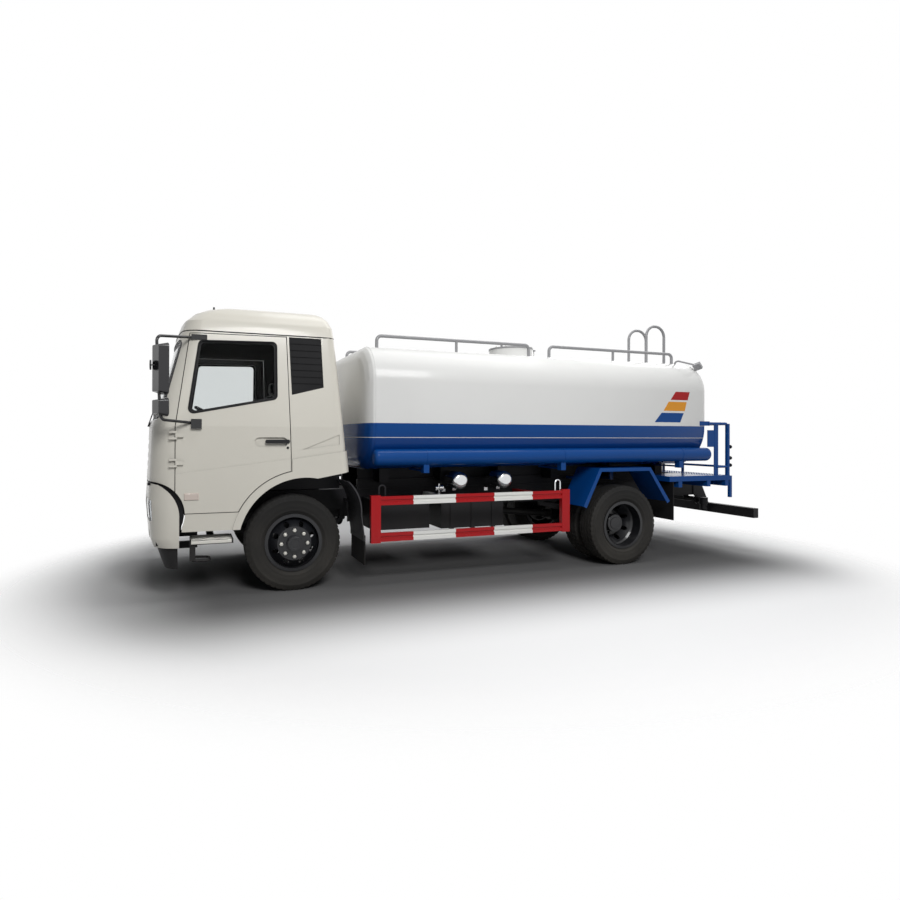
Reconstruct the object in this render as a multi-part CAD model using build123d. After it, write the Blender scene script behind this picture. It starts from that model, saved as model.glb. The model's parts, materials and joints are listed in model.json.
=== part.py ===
from build123d import *
from math import radians, sin, cos, sqrt
import os

# Water tanker truck. Lengths in millimetres.
# x runs forward from the front axle while a piece is drawn, y to the left, z up from the ground.

# Overall sizes
FRONT_OVERHANG = 1500
WHEELBASE = 4200
REAR_OVERHANG = 2330
OVERALL_LENGTH = FRONT_OVERHANG + WHEELBASE + REAR_OVERHANG
FRONT_AXLE_X = OVERALL_LENGTH / 2 - FRONT_OVERHANG
REAR_END = -(WHEELBASE + REAR_OVERHANG)

# Clearances
RUNNING_GAP = 0.5
SEAT_GAP = 0.3
DOOR_GAP = 8

# Wheels
TYRE_RADIUS = 506
TYRE_HALF_WIDTH = 138
TREAD_HALF_WIDTH = 112
BEAD_RADIUS = 290
BEAD_HALF_WIDTH = 106
FLANGE_RADIUS = 304
FLANGE_THICKNESS = 10
BARREL_RADIUS = 270
FRONT_TRACK = 1880
REAR_TRACK = 1800
TWIN_SPACING = 320
DISC_THICKNESS = 14
STUD_CIRCLE_RADIUS = 137.5
STUD_COUNT = 8
NUT_RADIUS = 18
NUT_HEIGHT = 24
HAND_HOLE_CIRCLE = 205
HAND_HOLE_RADIUS = 29
DRUM_RADIUS = 205
DRUM_WALL = 18
FRONT_FACE_Y = 150
REAR_FACE_Y = TWIN_SPACING / 2
REAR_SPINDLE_RADIUS = 62

# Front axle and steering
KINGPIN_Y = 820
KINGPIN_RADIUS = 25
SPINDLE_RADIUS = 35
STEER_ARM = 215
TIE_ROD_Z = 400
TIE_ROD_RADIUS = 16
TIE_EYE_RADIUS = 22
TIE_PIN_RADIUS = 11
STEER_ARM_HALF = 20

# Frame
FRAME_HALF_WIDTH = 430
FRAME_BOTTOM = 760
FRAME_TOP = 1000
FRAME_FLANGE = 75
FRAME_PLATE = 10
FRAME_FRONT = 1100
FRAME_REAR = -6300
SUBFRAME_TOP = 1110
EAR_THICKNESS = 20
SUBFRAME_HALF_WIDTH = 420

# Water tank
TANK_FRONT = -880
TANK_REAR = -5570
TANK_HALF_WIDTH = 1150
TANK_BOTTOM = 1250
TANK_TOP = 2670
TANK_TOP_CORNER = 430
TANK_BOTTOM_CORNER = 500
HEAD_BULGE = 95
MANHOLE_X = -3250
MANHOLE_RADIUS = 280
MANHOLE_WALL = 24
MANHOLE_TOP = 2850
MANHOLE_DEPTH = 420
LID_THICKNESS = 22
HOSE_TUBE_RADIUS = 92
HOSE_TUBE_Y = 1112
HOSE_TUBE_Z = 1400
HOSE_TUBE_ROUND = 45
HOSE_BRACKETS = (-1477, -3306, -5180)

# Cab
CAB_WALL = 65
PIVOT_X = 1408
PIVOT_Z = 860
PIVOT_PIN_RADIUS = 15
TILT_CAB_RADIUS = 324
ROOF_SEAM = 2690
ROOF_RISE = 305
ROOF_FRONT_REACH = 500
ROOF_SIDE_REACH = 330
ROOF_BACK_REACH = 190
ROOF_ANGLES = (0, 22, 42, 58, 71, 81, 90)
ROOF_SHELL = 45
FLARE_OUT = 14
CREASE_OUT = 7
HANDLE_POCKET = 22
GLASS_INSET = 14
GLASS_THICKNESS = 6
HINGE_X = 1165
HINGE_Y = 1170
HINGE_LEVELS = (1370, 1640)
HINGE_PIN_RADIUS = 7
HINGE_BARREL_RADIUS = 12
HINGE_HALF = 40

# Cab sections
# columns: height, front, front corner, half width, back, front corner radius, back corner radius
CAB_LEVELS = (
    (640, 1420, 1320, 1160, -590, 230, 90),
    (1190, 1490, 1390, 1156, -582, 230, 90),
    (1730, 1470, 1365, 1148, -530, 230, 90),
    (ROOF_SEAM, 1195, 1095, 1062, -440, 190, 90),
)
BUMPER_LEVELS = (
    (540, 1442, 1342, 1182, 800, 230, 60),
    (620, 1472, 1372, 1198, 800, 230, 60),
    (960, FRONT_OVERHANG, 1400, 1200, 800, 230, 60),
    (1176, 1488, 1388, 1196, 800, 230, 60),
)
BEAM_LEVELS = (
    (320, 1340, 1250, 1110, 800, 200, 60),
    (525, 1410, 1310, 1150, 800, 200, 60),
)
BUMPER_WALL = 28
BEAM_WALL = 36
ARCH_X = -100
ARCH_Z = 520
ARCH_RADIUS = 680
ARCH_STRIP = 85
ROCKER_FRONT = 1112
ROCKER_BOTTOM = 690

# Cab floor, doors and panels
FLOOR_LOW = 930
FLOOR_HIGH = 1200
FLOOR_PLATE = 60
FLOOR_STEP_X = 620
TUNNEL_HALF = FRAME_HALF_WIDTH + EAR_THICKNESS + 8
TUNNEL_TOP = 1330
TUNNEL_FRONT = 1120
LUG_THICKNESS = 28
DOOR_FRONT_X = 1172
DOOR_BACK_X = 50
DOOR_BOTTOM = 872
PANEL_SKIN = 22
GRILLE_ROWS = (1270, 1360, 1450, 1540)
LOUVRE_DEPTH = 16
LOUVRE_BORDER = 14
LOUVRE_COUNT = 7
LOUVRE_PITCH = 70
WIPER_PIVOTS = (560, -160)
WIPER_Z = 1752

# Driver's place and mirrors
WHEEL_X = 790
WHEEL_Y = 560
WHEEL_Z = 1830
WHEEL_TILT = 30
WHEEL_RADIUS = 225
SEAT_INNER = 520
SEAT_OUTER = 960
# columns: bottom, top
MIRROR_HEADS = ((2020, 2500), (1815, 1990))
MIRROR_HALF = 88
MIRROR_X = 1300
MIRROR_Y = 1385
MIRROR_TURN = 28
MIRROR_TUBE = 14

# Handrails, ladder and rear platform
RAIL_Y = 690
RAIL_TOP = 2820
RAIL_TUBE = 20
LADDER_Y = 185
LADDER_X = -5830
LADDER_HOOP_FOOT = -5490
LADDER_TOP = 3340
LADDER_TUBE = 20
LADDER_RUNGS = 5
LADDER_PITCH = 290
DECK_TOP = 1110
PLATFORM_FRONT = -4960
PLATFORM_REAR = -6030
PLATFORM_Y = 1170
PLATFORM_PLATE = 8
PLATFORM_RIM = 70
RAILING_Y = 1150
RAILING_TOP = 1820
RAILING_INNER = 380
RAILING_MIDDLE = 1225
CORNER_POST_X = -6005

# Fenders, side guards and underrun bar
FENDER_INNER = 760
FENDER_OUTER = 1205
FENDER_PATH = ((-3565, 770), (-3810, 1240), (-4610, 1240), (-4930, 790))
GUARD_FRONT = -810
GUARD_REAR = -3360
GUARD_LOW = 472
GUARD_HIGH = 989
GUARD_RAIL = 95
GUARD_OUTER = 1205
GUARD_THICKNESS = 36
GUARD_POST = 110
GUARD_WALL = 8
BAR_LOW = 496
BAR_HIGH = 630
BAR_DEPTH = 90
BAR_HALF_WIDTH = 1200

# Vessels and pipes
RESERVOIR_RADIUS = 105
RESERVOIR_Z = 1105
PUMP_X = -2600
PUMP_Z = 820
COUPLING_X = -6150
COUPLING_Y = 620
COUPLING_Z = 700
COUPLING_RADIUS = 45

# Reach of cutting prisms beyond the cab, and of a core beyond its shell
FULL_WIDTH = (-1400, 1400)
LEFT_SIDE = (900, 1400)
FRONT_REACH = (1180, 1700)
SPILL = 5


# Drawing helpers
def block(x0, x1, y0, y1, z0, z1):
    return Pos((x0 + x1) / 2, (y0 + y1) / 2, (z0 + z1) / 2) * Box(x1 - x0, y1 - y0, z1 - z0)


def outline(*points, radius=0):
    if radius:
        return make_face(FilletPolyline(*points, radius=radius, close=True))
    return make_face(Polyline(*points, close=True))


def across(face, y0, y1):
    return extrude(Plane.XZ.offset(-y1) * face, amount=y1 - y0)


def along(face, x0, x1):
    return extrude(Plane.YZ.offset(x0) * face, amount=x1 - x0)


def upward(face, z0, z1):
    return extrude(Plane.XY.offset(z0) * face, amount=z1 - z0)


def rod(start, end, radius):
    axis = Vector(*end) - Vector(*start)
    return extrude(Plane(origin=start, z_dir=axis) * Circle(radius), amount=axis.length)


def pipe(points, radius, bend):
    path = FilletPolyline(*points, radius=bend)
    return sweep(Plane(origin=path @ 0, z_dir=path % 0) * Circle(radius), path=path)


def disc(radius, y0, y1, x=0, z=0):
    return Pos(x, (y0 + y1) / 2, z) * (Rot(90, 0, 0) * Cylinder(radius, y1 - y0))


def twin(shape):
    return shape + mirror(shape, about=Plane.XZ)


def right(shape):
    return mirror(shape, about=Plane.XZ)


def save(shape, node):
    export_step(Pos(FRONT_AXLE_X, 0, 0) * shape, f"parts/{node}.step")


os.makedirs("parts", exist_ok=True)


# Tyres and rims, drawn about the y axis with the outer side at +y
def tyre():
    half = [
        Line((BEAD_RADIUS, 0), (BEAD_RADIUS, BEAD_HALF_WIDTH)),
        Line((BEAD_RADIUS, BEAD_HALF_WIDTH), (FLANGE_RADIUS + 8, BEAD_HALF_WIDTH)),
        ThreePointArc(
            (FLANGE_RADIUS + 8, BEAD_HALF_WIDTH), (400, TYRE_HALF_WIDTH), (476, TREAD_HALF_WIDTH + 14)
        ),
        Line((476, TREAD_HALF_WIDTH + 14), (TYRE_RADIUS - 4, TREAD_HALF_WIDTH)),
        Line((TYRE_RADIUS - 4, TREAD_HALF_WIDTH), (TYRE_RADIUS, TREAD_HALF_WIDTH - 60)),
        Line((TYRE_RADIUS, TREAD_HALF_WIDTH - 60), (TYRE_RADIUS, 0)),
        Line((TYRE_RADIUS, 0), (BEAD_RADIUS, 0)),
    ]
    outer = revolve(make_face(half), axis=Axis.Y)
    return outer + mirror(outer, about=Plane.XZ)


def rim_barrel():
    seat = BEAD_RADIUS - SEAT_GAP
    inner_edge = BEAD_HALF_WIDTH + SEAT_GAP
    outer_edge = inner_edge + FLANGE_THICKNESS
    section = outline(
        (BARREL_RADIUS, -outer_edge),
        (FLANGE_RADIUS, -outer_edge),
        (FLANGE_RADIUS, -inner_edge),
        (seat, -inner_edge),
        (seat, inner_edge),
        (FLANGE_RADIUS, inner_edge),
        (FLANGE_RADIUS, outer_edge),
        (BARREL_RADIUS, outer_edge),
    )
    return revolve(section, axis=Axis.Y)


def rim_disc(face_y):
    back = face_y - DISC_THICKNESS
    section = outline(
        (60, back),
        (172, back),
        (250, 38),
        (BARREL_RADIUS + 2, 20),
        (BARREL_RADIUS + 2, 40),
        (252, 56),
        (178, face_y),
        (60, face_y),
    )
    plate = revolve(section, axis=Axis.Y)
    hole = disc(HAND_HOLE_RADIUS, -20, face_y + 20, x=HAND_HOLE_CIRCLE)
    for index in range(STUD_COUNT):
        plate = plate - Rot(0, 360 * (index + 0.5) / STUD_COUNT, 0) * hole
    return plate


def nuts(y0):
    ring = None
    for index in range(STUD_COUNT):
        turn = Rot(0, 360 * index / STUD_COUNT, 0)
        nut = turn * disc(NUT_RADIUS, y0, y0 + NUT_HEIGHT, x=STUD_CIRCLE_RADIUS)
        ring = nut if ring is None else ring + nut
    return ring


def drum(open_y, web_y):
    return disc(DRUM_RADIUS, open_y, web_y) - disc(DRUM_RADIUS - DRUM_WALL, open_y - 1, web_y - 12)


def front_rim():
    hub = disc(88, -45, FRONT_FACE_Y - DISC_THICKNESS)
    cap = disc(78, FRONT_FACE_Y - 20, FRONT_FACE_Y + 52)
    wheel = rim_barrel() + rim_disc(FRONT_FACE_Y) + drum(-92, -8) + (hub + cap) + nuts(FRONT_FACE_Y)
    bore = disc(SPINDLE_RADIUS + RUNNING_GAP, -100, 141)
    return wheel - bore


def rear_rims():
    inner = Pos(0, -REAR_FACE_Y, 0) * (rim_barrel() + rim_disc(REAR_FACE_Y))
    outer = mirror(inner, about=Plane.XZ)
    hub = disc(96, -170, 96) + disc(112, 80, 122)
    wheel = inner + outer + hub + nuts(DISC_THICKNESS) + drum(-190, -60)
    bore = disc(REAR_SPINDLE_RADIUS + RUNNING_GAP, -200, 70)
    return wheel - bore


def rear_tyres():
    return Pos(0, -TWIN_SPACING / 2, 0) * tyre() + Pos(0, TWIN_SPACING / 2, 0) * tyre()


front_wheel_at = Pos(0, FRONT_TRACK / 2, TYRE_RADIUS)
rear_wheel_at = Pos(-WHEELBASE, REAR_TRACK / 2, TYRE_RADIUS)
for node, shape in (
    ("front_tyre", front_wheel_at * tyre()),
    ("front_rim", front_wheel_at * front_rim()),
    ("rear_tyres", rear_wheel_at * rear_tyres()),
    ("rear_rims", rear_wheel_at * rear_rims()),
):
    save(shape, f"{node}_left")
    save(right(shape), f"{node}_right")


# Front axle, knuckles and tie rod
def front_axle():
    beam = along(
        outline(
            (-760, 470),
            (-690, 400),
            (-500, 340),
            (500, 340),
            (690, 400),
            (760, 470),
            (760, 550),
            (690, 500),
            (480, 430),
            (-480, 430),
            (-690, 500),
            (-760, 550),
        ),
        -45,
        45,
    )
    boss = Pos(0, KINGPIN_Y, TYRE_RADIUS) * Cylinder(42, 120)
    neck = block(-40, 40, 700, KINGPIN_Y - 20, TYRE_RADIUS - 45, TYRE_RADIUS + 45)
    end = boss + neck - Pos(0, KINGPIN_Y, TYRE_RADIUS) * Cylinder(KINGPIN_RADIUS + RUNNING_GAP, 200)
    return beam - twin(block(-60, 60, 760, 900, 300, 700)) + twin(end)


def knuckle():
    pin = Pos(0, KINGPIN_Y, TYRE_RADIUS) * Cylinder(KINGPIN_RADIUS, 190)
    upper_ear = block(-40, 40, KINGPIN_Y - 40, 880, TYRE_RADIUS + 62, TYRE_RADIUS + 94)
    lower_ear = block(-40, 40, KINGPIN_Y - 40, 880, TYRE_RADIUS - 94, TYRE_RADIUS - 62)
    web = block(-46, 46, 867, 880, TYRE_RADIUS - 94, TYRE_RADIUS + 94)
    plate = disc(176, 878, 886, z=TYRE_RADIUS)
    spindle = disc(SPINDLE_RADIUS, 880, 1076, z=TYRE_RADIUS)
    arm_face = SlotCenterToCenter(STEER_ARM, 2 * STEER_ARM_HALF)
    arm_base = upward(arm_face, TIE_ROD_Z + 22, TYRE_RADIUS - 70)
    arm = Pos(-STEER_ARM / 2, KINGPIN_Y, 0) * arm_base
    stud = Pos(-STEER_ARM, KINGPIN_Y, TIE_ROD_Z + 6) * Cylinder(TIE_PIN_RADIUS, 44)
    return pin + upper_ear + lower_ear + web + plate + spindle + arm + stud


def tie_rod():
    reach = KINGPIN_Y - TIE_EYE_RADIUS + 4
    bar = rod((-STEER_ARM, -reach, TIE_ROD_Z), (-STEER_ARM, reach, TIE_ROD_Z), TIE_ROD_RADIUS - 1)
    eye = Pos(-STEER_ARM, KINGPIN_Y, TIE_ROD_Z) * Cylinder(TIE_EYE_RADIUS, 34)
    hole = Pos(-STEER_ARM, KINGPIN_Y, TIE_ROD_Z) * Cylinder(TIE_PIN_RADIUS + RUNNING_GAP, 80)
    return bar + twin(eye) - twin(hole)


save(knuckle(), "knuckle_left")
save(right(knuckle()), "knuckle_right")
save(tie_rod(), "tie_rod")


# Rear axle with its casing, and the springs
def rear_axle():
    tube = disc(78, -700, 700) + disc(REAR_SPINDLE_RADIUS, -960, 960)
    casing = Sphere(225) + Pos(190, 0, 20) * (Rot(0, 90, 0) * Cylinder(95, 260))
    return Pos(-WHEELBASE, 0, TYRE_RADIUS) * (tube + casing)


def spring(span, drop, depth, y0, y1, x, z):
    high = z + drop
    band = make_face(
        [
            ThreePointArc((-span, high), (0, z), (span, high)),
            Line((span, high), (span, high - depth / 3)),
            ThreePointArc((span, high - depth / 3), (0, z - depth), (-span, high - depth / 3)),
            Line((-span, high - depth / 3), (-span, high)),
        ]
    )
    pack = Pos(x, 0, 0) * across(band, y0, y1)
    hangers = None
    for end in (-span + 35, span - 35):
        post = block(x + end - 30, x + end + 30, y0 + 8, y1 - 8, high - depth / 2, FRAME_BOTTOM)
        hangers = post if hangers is None else hangers + post
    return pack + hangers


front_spring = spring(720, 165, 85, FRAME_HALF_WIDTH - 75, FRAME_HALF_WIDTH, 0, 515)
rear_spring = spring(740, 55, 105, FRAME_HALF_WIDTH - 70, FRAME_HALF_WIDTH, -WHEELBASE, 689)
save(front_axle() + rear_axle(), "axles")
save(twin(front_spring) + twin(rear_spring), "leaf_springs")


# Ladder frame
def frame():
    flange_edge = FRAME_HALF_WIDTH - FRAME_FLANGE
    inner = FRAME_HALF_WIDTH - FRAME_PLATE
    rail = block(FRAME_REAR, FRAME_FRONT, flange_edge, FRAME_HALF_WIDTH, FRAME_BOTTOM, FRAME_TOP)
    hollow = block(
        FRAME_REAR - 1,
        FRAME_FRONT + 1,
        flange_edge - 1,
        inner,
        FRAME_BOTTOM + FRAME_PLATE,
        FRAME_TOP - FRAME_PLATE,
    )
    ladder = twin(rail - hollow)
    for x in (1050, -1300, -2300, -3400, -5000, -6240):
        ladder = ladder + block(x - 40, x + 40, -inner, inner, FRAME_BOTTOM + 90, FRAME_TOP - 30)
    ear = across(
        outline(
            (960, 780),
            (1180, 780),
            (1418, 832),
            (1434, 848),
            (1434, 872),
            (1418, 888),
            (1180, 880),
            (960, 915),
        ),
        FRAME_HALF_WIDTH,
        FRAME_HALF_WIDTH + EAR_THICKNESS,
    )
    ear = ear - disc(PIVOT_PIN_RADIUS + RUNNING_GAP, 300, 600, x=PIVOT_X, z=PIVOT_Z)
    return ladder + twin(ear)


save(frame(), "chassis_frame")


# Engine with its gearbox and radiator, and the drive shaft
def engine():
    body = block(-420, 860, -320, 320, 620, 1290)
    gearbox = block(-1120, -420, -220, 220, 640, 985)
    radiator = block(900, 1010, -335, 335, 600, 1290)
    link = block(860, 900, -120, 120, 900, 1020)
    return body + gearbox + radiator + link


def drive_shaft():
    front = Pos(-1170, 0, 780) * (Rot(0, 90, 0) * Cylinder(56, 100))
    back = Pos(-WHEELBASE + 370, 0, TYRE_RADIUS + 20) * (Rot(0, 90, 0) * Cylinder(56, 100))
    return front + back + rod((-1190, 0, 780), (-WHEELBASE + 390, 0, TYRE_RADIUS + 20), 45)


save(engine() + drive_shaft(), "drivetrain")


# Tank, with a blind well under its manhole
def tank_section(inset):
    wide = TANK_HALF_WIDTH - inset
    low = TANK_BOTTOM + inset
    high = TANK_TOP - inset
    top_r = TANK_TOP_CORNER - inset
    low_r = TANK_BOTTOM_CORNER - inset
    face = outline((-wide, low), (wide, low), (wide, high), (-wide, high))
    top = face.vertices().sort_by(Axis.Y)[2:]
    face = fillet(top, top_r)
    bottom = face.vertices().sort_by(Axis.Y)[:2]
    return fillet(bottom, low_r)


def tank():
    hull = along(tank_section(0), TANK_REAR, TANK_FRONT)
    for seam, way in ((TANK_FRONT, 1), (TANK_REAR, -1)):
        steps = ((0, 0), (28, 12), (62, 50), (HEAD_BULGE, 140))
        faces = [Plane.YZ.offset(seam + way * reach) * tank_section(inset) for reach, inset in steps]
        head = loft(faces, ruled=True)
        hull = hull + head
    neck_foot = TANK_TOP - 60
    neck = Cylinder(MANHOLE_RADIUS + MANHOLE_WALL, MANHOLE_TOP - neck_foot)
    neck = Pos(MANHOLE_X, 0, (MANHOLE_TOP + neck_foot) / 2) * neck
    well = Cylinder(MANHOLE_RADIUS, MANHOLE_DEPTH + 2)
    well = Pos(MANHOLE_X, 0, MANHOLE_TOP - MANHOLE_DEPTH / 2 + 1) * well
    hinge = block(MANHOLE_X - 372, MANHOLE_X - 290, -24, 24, TANK_TOP - 20, MANHOLE_TOP - 10)
    hinge = hinge + disc(18, -24, 24, x=MANHOLE_X - 350, z=MANHOLE_TOP + 12)
    hinge = hinge + block(MANHOLE_X - 368, MANHOLE_X - 332, -24, 24, MANHOLE_TOP - 12, MANHOLE_TOP + 12)
    return hull + neck - well + hinge


def manhole_lid():
    seat = MANHOLE_TOP + SEAT_GAP
    plate = Cylinder(MANHOLE_RADIUS + MANHOLE_WALL + 8, LID_THICKNESS)
    plate = Pos(MANHOLE_X, 0, seat + LID_THICKNESS / 2) * plate
    crown = Pos(MANHOLE_X, 0, seat + LID_THICKNESS + 8) * Cone(240, 190, 16)
    knob = Pos(MANHOLE_X + 150, 0, seat + 50) * Cylinder(16, 60)
    arms = None
    for y in (32, -58):
        arm = block(MANHOLE_X - 368, MANHOLE_X - 240, y, y + 26, seat + 2, seat + LID_THICKNESS)
        arms = arm if arms is None else arms + arm
    return plate + crown + knob + arms


save(tank(), "tank")
save(manhole_lid(), "manhole_lid")


# Tank subframe with saddles
def subframe():
    wide = SUBFRAME_HALF_WIDTH
    body = twin(block(TANK_REAR - 60, TANK_FRONT, wide - 80, wide, FRAME_TOP, SUBFRAME_TOP))
    for x in (-1150, -1950, -2750, -3550, -4500, -5300):
        body = body + block(x - 60, x + 60, -620, 620, SUBFRAME_TOP - 30, TANK_BOTTOM)
        body = body + block(x - 40, x + 40, -wide, wide, FRAME_TOP, SUBFRAME_TOP)
    return body


save(subframe(), "tank_subframe")


# Handrails on the tank top
def handrails():
    rails = None
    for x0, x1 in ((-1030, -3100), (-3410, -5470)):
        bow = pipe(
            [
                (x0, RAIL_Y, TANK_TOP),
                (x0, RAIL_Y, RAIL_TOP),
                (x1, RAIL_Y, RAIL_TOP),
                (x1, RAIL_Y, TANK_TOP),
            ],
            RAIL_TUBE,
            60,
        )
        middle = (x0 + x1) / 2
        bow = bow + rod((middle, RAIL_Y, TANK_TOP), (middle, RAIL_Y, RAIL_TOP), RAIL_TUBE - 3)
        rails = bow if rails is None else rails + bow
    return twin(rails)


save(handrails(), "tank_handrails")


# Rear ladder with its two hoops
def ladder():
    stile = pipe(
        [
            (LADDER_X, LADDER_Y, DECK_TOP),
            (LADDER_X, LADDER_Y, LADDER_TOP - LADDER_TUBE),
            (LADDER_HOOP_FOOT, LADDER_Y, LADDER_TOP - LADDER_TUBE),
            (LADDER_HOOP_FOOT, LADDER_Y, TANK_TOP),
        ],
        LADDER_TUBE,
        160,
    )
    stay = rod((LADDER_X, LADDER_Y, 2150), (TANK_REAR - HEAD_BULGE, LADDER_Y, 2150), 14)
    whole = twin(stile + stay)
    for step in range(LADDER_RUNGS):
        z = 1400 + LADDER_PITCH * step
        whole = whole + rod((LADDER_X, -LADDER_Y, z), (LADDER_X, LADDER_Y, z), 13)
    return whole


save(ladder(), "rear_ladder")


# Side hose tubes with brackets
def hose_tubes():
    tube = rod((-860, HOSE_TUBE_Y, HOSE_TUBE_Z), (-5680, HOSE_TUBE_Y, HOSE_TUBE_Z), HOSE_TUBE_RADIUS)
    tube = fillet(tube.edges().filter_by(GeomType.CIRCLE), HOSE_TUBE_ROUND)
    for x in HOSE_BRACKETS:
        ends = [(x + way, HOSE_TUBE_Y, HOSE_TUBE_Z) for way in (-8, 8)]
        strap = rod(*ends, HOSE_TUBE_RADIUS + 4)
        foot_top = HOSE_TUBE_Z - HOSE_TUBE_RADIUS + 14
        foot = block(x - 34, x + 34, HOSE_TUBE_Y - 40, HOSE_TUBE_Y + 40, 1222, foot_top)
        arm = block(x - 20, x + 20, 640, HOSE_TUBE_Y, 1232, 1252)
        tube = tube + strap + foot + arm
    hull = along(tank_section(-SEAT_GAP), TANK_REAR - HEAD_BULGE, TANK_FRONT + HEAD_BULGE)
    return twin(tube - hull)


save(hose_tubes(), "hose_tubes")


# Rear platform and its railing
def platform():
    under = DECK_TOP - PLATFORM_PLATE
    deck = block(PLATFORM_REAR, PLATFORM_FRONT, -PLATFORM_Y, PLATFORM_Y, under, DECK_TOP)
    rim = block(PLATFORM_REAR, PLATFORM_FRONT, -PLATFORM_Y, PLATFORM_Y, DECK_TOP - PLATFORM_RIM, DECK_TOP)
    inner = PLATFORM_Y - PLATFORM_PLATE
    ends = (PLATFORM_REAR + PLATFORM_PLATE, PLATFORM_FRONT - PLATFORM_PLATE)
    rim = rim - block(*ends, -inner, inner, DECK_TOP - PLATFORM_RIM - 10, under)
    body = deck + rim
    for x in (-5150, -5650, -5980):
        body = body + twin(block(x - 30, x + 30, FRAME_HALF_WIDTH, PLATFORM_Y - 4, 960, under))
    slot = block(TANK_REAR - 70, PLATFORM_FRONT + 20, -630, 630, 900, DECK_TOP + 60)
    return body - slot


save(platform(), "rear_platform")


def railing():
    top = pipe(
        [
            (-5645, RAILING_Y, RAILING_TOP),
            (CORNER_POST_X, RAILING_Y, RAILING_TOP),
            (CORNER_POST_X, RAILING_INNER, RAILING_TOP),
            (CORNER_POST_X, RAILING_INNER, DECK_TOP),
        ],
        20,
        50,
    )
    post = Box(40, 40, RAILING_TOP - DECK_TOP)
    post = Pos(CORNER_POST_X, RAILING_Y, (DECK_TOP + RAILING_TOP) / 2) * post
    bend = (CORNER_POST_X, RAILING_Y, RAILING_MIDDLE)
    mid_rail = rod((-5800, RAILING_Y, RAILING_MIDDLE), bend, 16)
    rear_rail = rod(bend, (CORNER_POST_X, RAILING_INNER, RAILING_MIDDLE), 16)
    drop = block(PLATFORM_REAR - 40, PLATFORM_REAR, RAILING_Y - 18, RAILING_Y + 18, 800, DECK_TOP - 10)
    corner = post + mid_rail + rear_rail
    middle = block(-5830, -5760, RAILING_Y - 6, RAILING_Y + 6, DECK_TOP, RAILING_TOP)
    tab = block(-5670, -5500, TANK_HALF_WIDTH, TANK_HALF_WIDTH + 8, RAILING_TOP - 30, RAILING_TOP + 30)
    plate = block(-5760, -5640, RAILING_Y - 4, RAILING_Y + 4, 1500, 1730)
    return twin(top + corner + middle + tab + plate + drop)


save(railing(), "platform_railing")


# Rear fenders in three flat leaves, and the mud flaps
def fender():
    leaf = outline(*FENDER_PATH, (-4920, 783), (-4605, 1230), (-3816, 1230), (-3575, 764))
    edge = outline(*FENDER_PATH, (-4888, 763), (-4588, 1195), (-3838, 1195), (-3610, 746))
    skin = across(leaf, FENDER_INNER, FENDER_OUTER)
    lip = across(edge, FENDER_OUTER - 8, FENDER_OUTER)
    whole = skin + lip
    for x in (-3900, -4330):
        whole = whole + block(x - 25, x + 25, SUBFRAME_HALF_WIDTH, 800, 1060, 1095)
        whole = whole + block(x - 25, x + 25, 770, 800, 1060, 1235)
    return whole


save(twin(fender()), "rear_fenders")


def flaps():
    front_flap = block(-754, -742, 640, 1180, 240, 560)
    rear_flap = block(-5012, -5000, 600, 1190, 530, DECK_TOP - 70)
    return twin(front_flap) + twin(rear_flap)


save(flaps(), "mud_flaps")


def mudguard():
    band = make_face(
        [
            ThreePointArc((-560, 1140), (-668, 980), (-700, 780)),
            Line((-700, 780), (-730, 560)),
            Line((-730, 560), (-730, 500)),
            Line((-730, 500), (-742, 500)),
            Line((-742, 500), (-742, 560)),
            Line((-742, 560), (-712, 782)),
            ThreePointArc((-712, 782), (-680, 990), (-568, 1149)),
            Line((-568, 1149), (-560, 1140)),
        ]
    )
    shell = across(band, 640, 1190)
    stay = block(-740, -700, FRAME_HALF_WIDTH, 640, 860, 900)
    web = block(-745, -690, 630, 645, 640, 1000)
    return shell + stay + web


save(twin(mudguard()), "front_mudguards")


# Side guards: two grooved rails between channel posts
def guard(bracket_places):
    inner = GUARD_OUTER - GUARD_THICKNESS
    frame_body = None
    for low in (GUARD_LOW + 12, GUARD_HIGH - 12 - GUARD_RAIL):
        rail = block(GUARD_REAR + 30, GUARD_FRONT - 30, inner, GUARD_OUTER - 4, low, low + GUARD_RAIL)
        groove = block(GUARD_REAR, GUARD_FRONT, GUARD_OUTER - 18, GUARD_OUTER, low + 34, low + 61)
        piece = rail - groove
        frame_body = piece if frame_body is None else frame_body + piece
    for x in (GUARD_FRONT - GUARD_POST, GUARD_REAR):
        post = block(x, x + GUARD_POST, inner - 20, GUARD_OUTER, GUARD_LOW, GUARD_HIGH)
        hollow = block(
            x + GUARD_WALL,
            x + GUARD_POST - GUARD_WALL,
            inner - 30,
            GUARD_OUTER - GUARD_WALL,
            GUARD_LOW + GUARD_WALL,
            GUARD_HIGH - GUARD_WALL,
        )
        frame_body = frame_body + (post - hollow)
    for x in bracket_places:
        frame_body = frame_body + block(x - 30, x + 30, FRAME_HALF_WIDTH, inner + 5, 880, 940)
    return frame_body


save(guard((-1760, -3050)) + right(guard((-1185, -3050))), "side_guards")


# Rear underrun bar on two arms
def underrun():
    bar = block(REAR_END, REAR_END + BAR_DEPTH, -BAR_HALF_WIDTH, BAR_HALF_WIDTH, BAR_LOW, BAR_HIGH)
    arm = across(
        outline(
            (REAR_END + 20, BAR_LOW + 20),
            (REAR_END + 110, BAR_LOW + 20),
            (-6150, 770),
            (-6150, 960),
            (-6290, 960),
        ),
        FRAME_HALF_WIDTH,
        FRAME_HALF_WIDTH + 14,
    )
    return bar + twin(arm)


save(underrun(), "rear_underrun_bar")


# Rear lamps and the work lamp on its bent bracket
def rear_lamps():
    return twin(block(-6080, PLATFORM_REAR, 760, 1080, 985, 1085))


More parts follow.
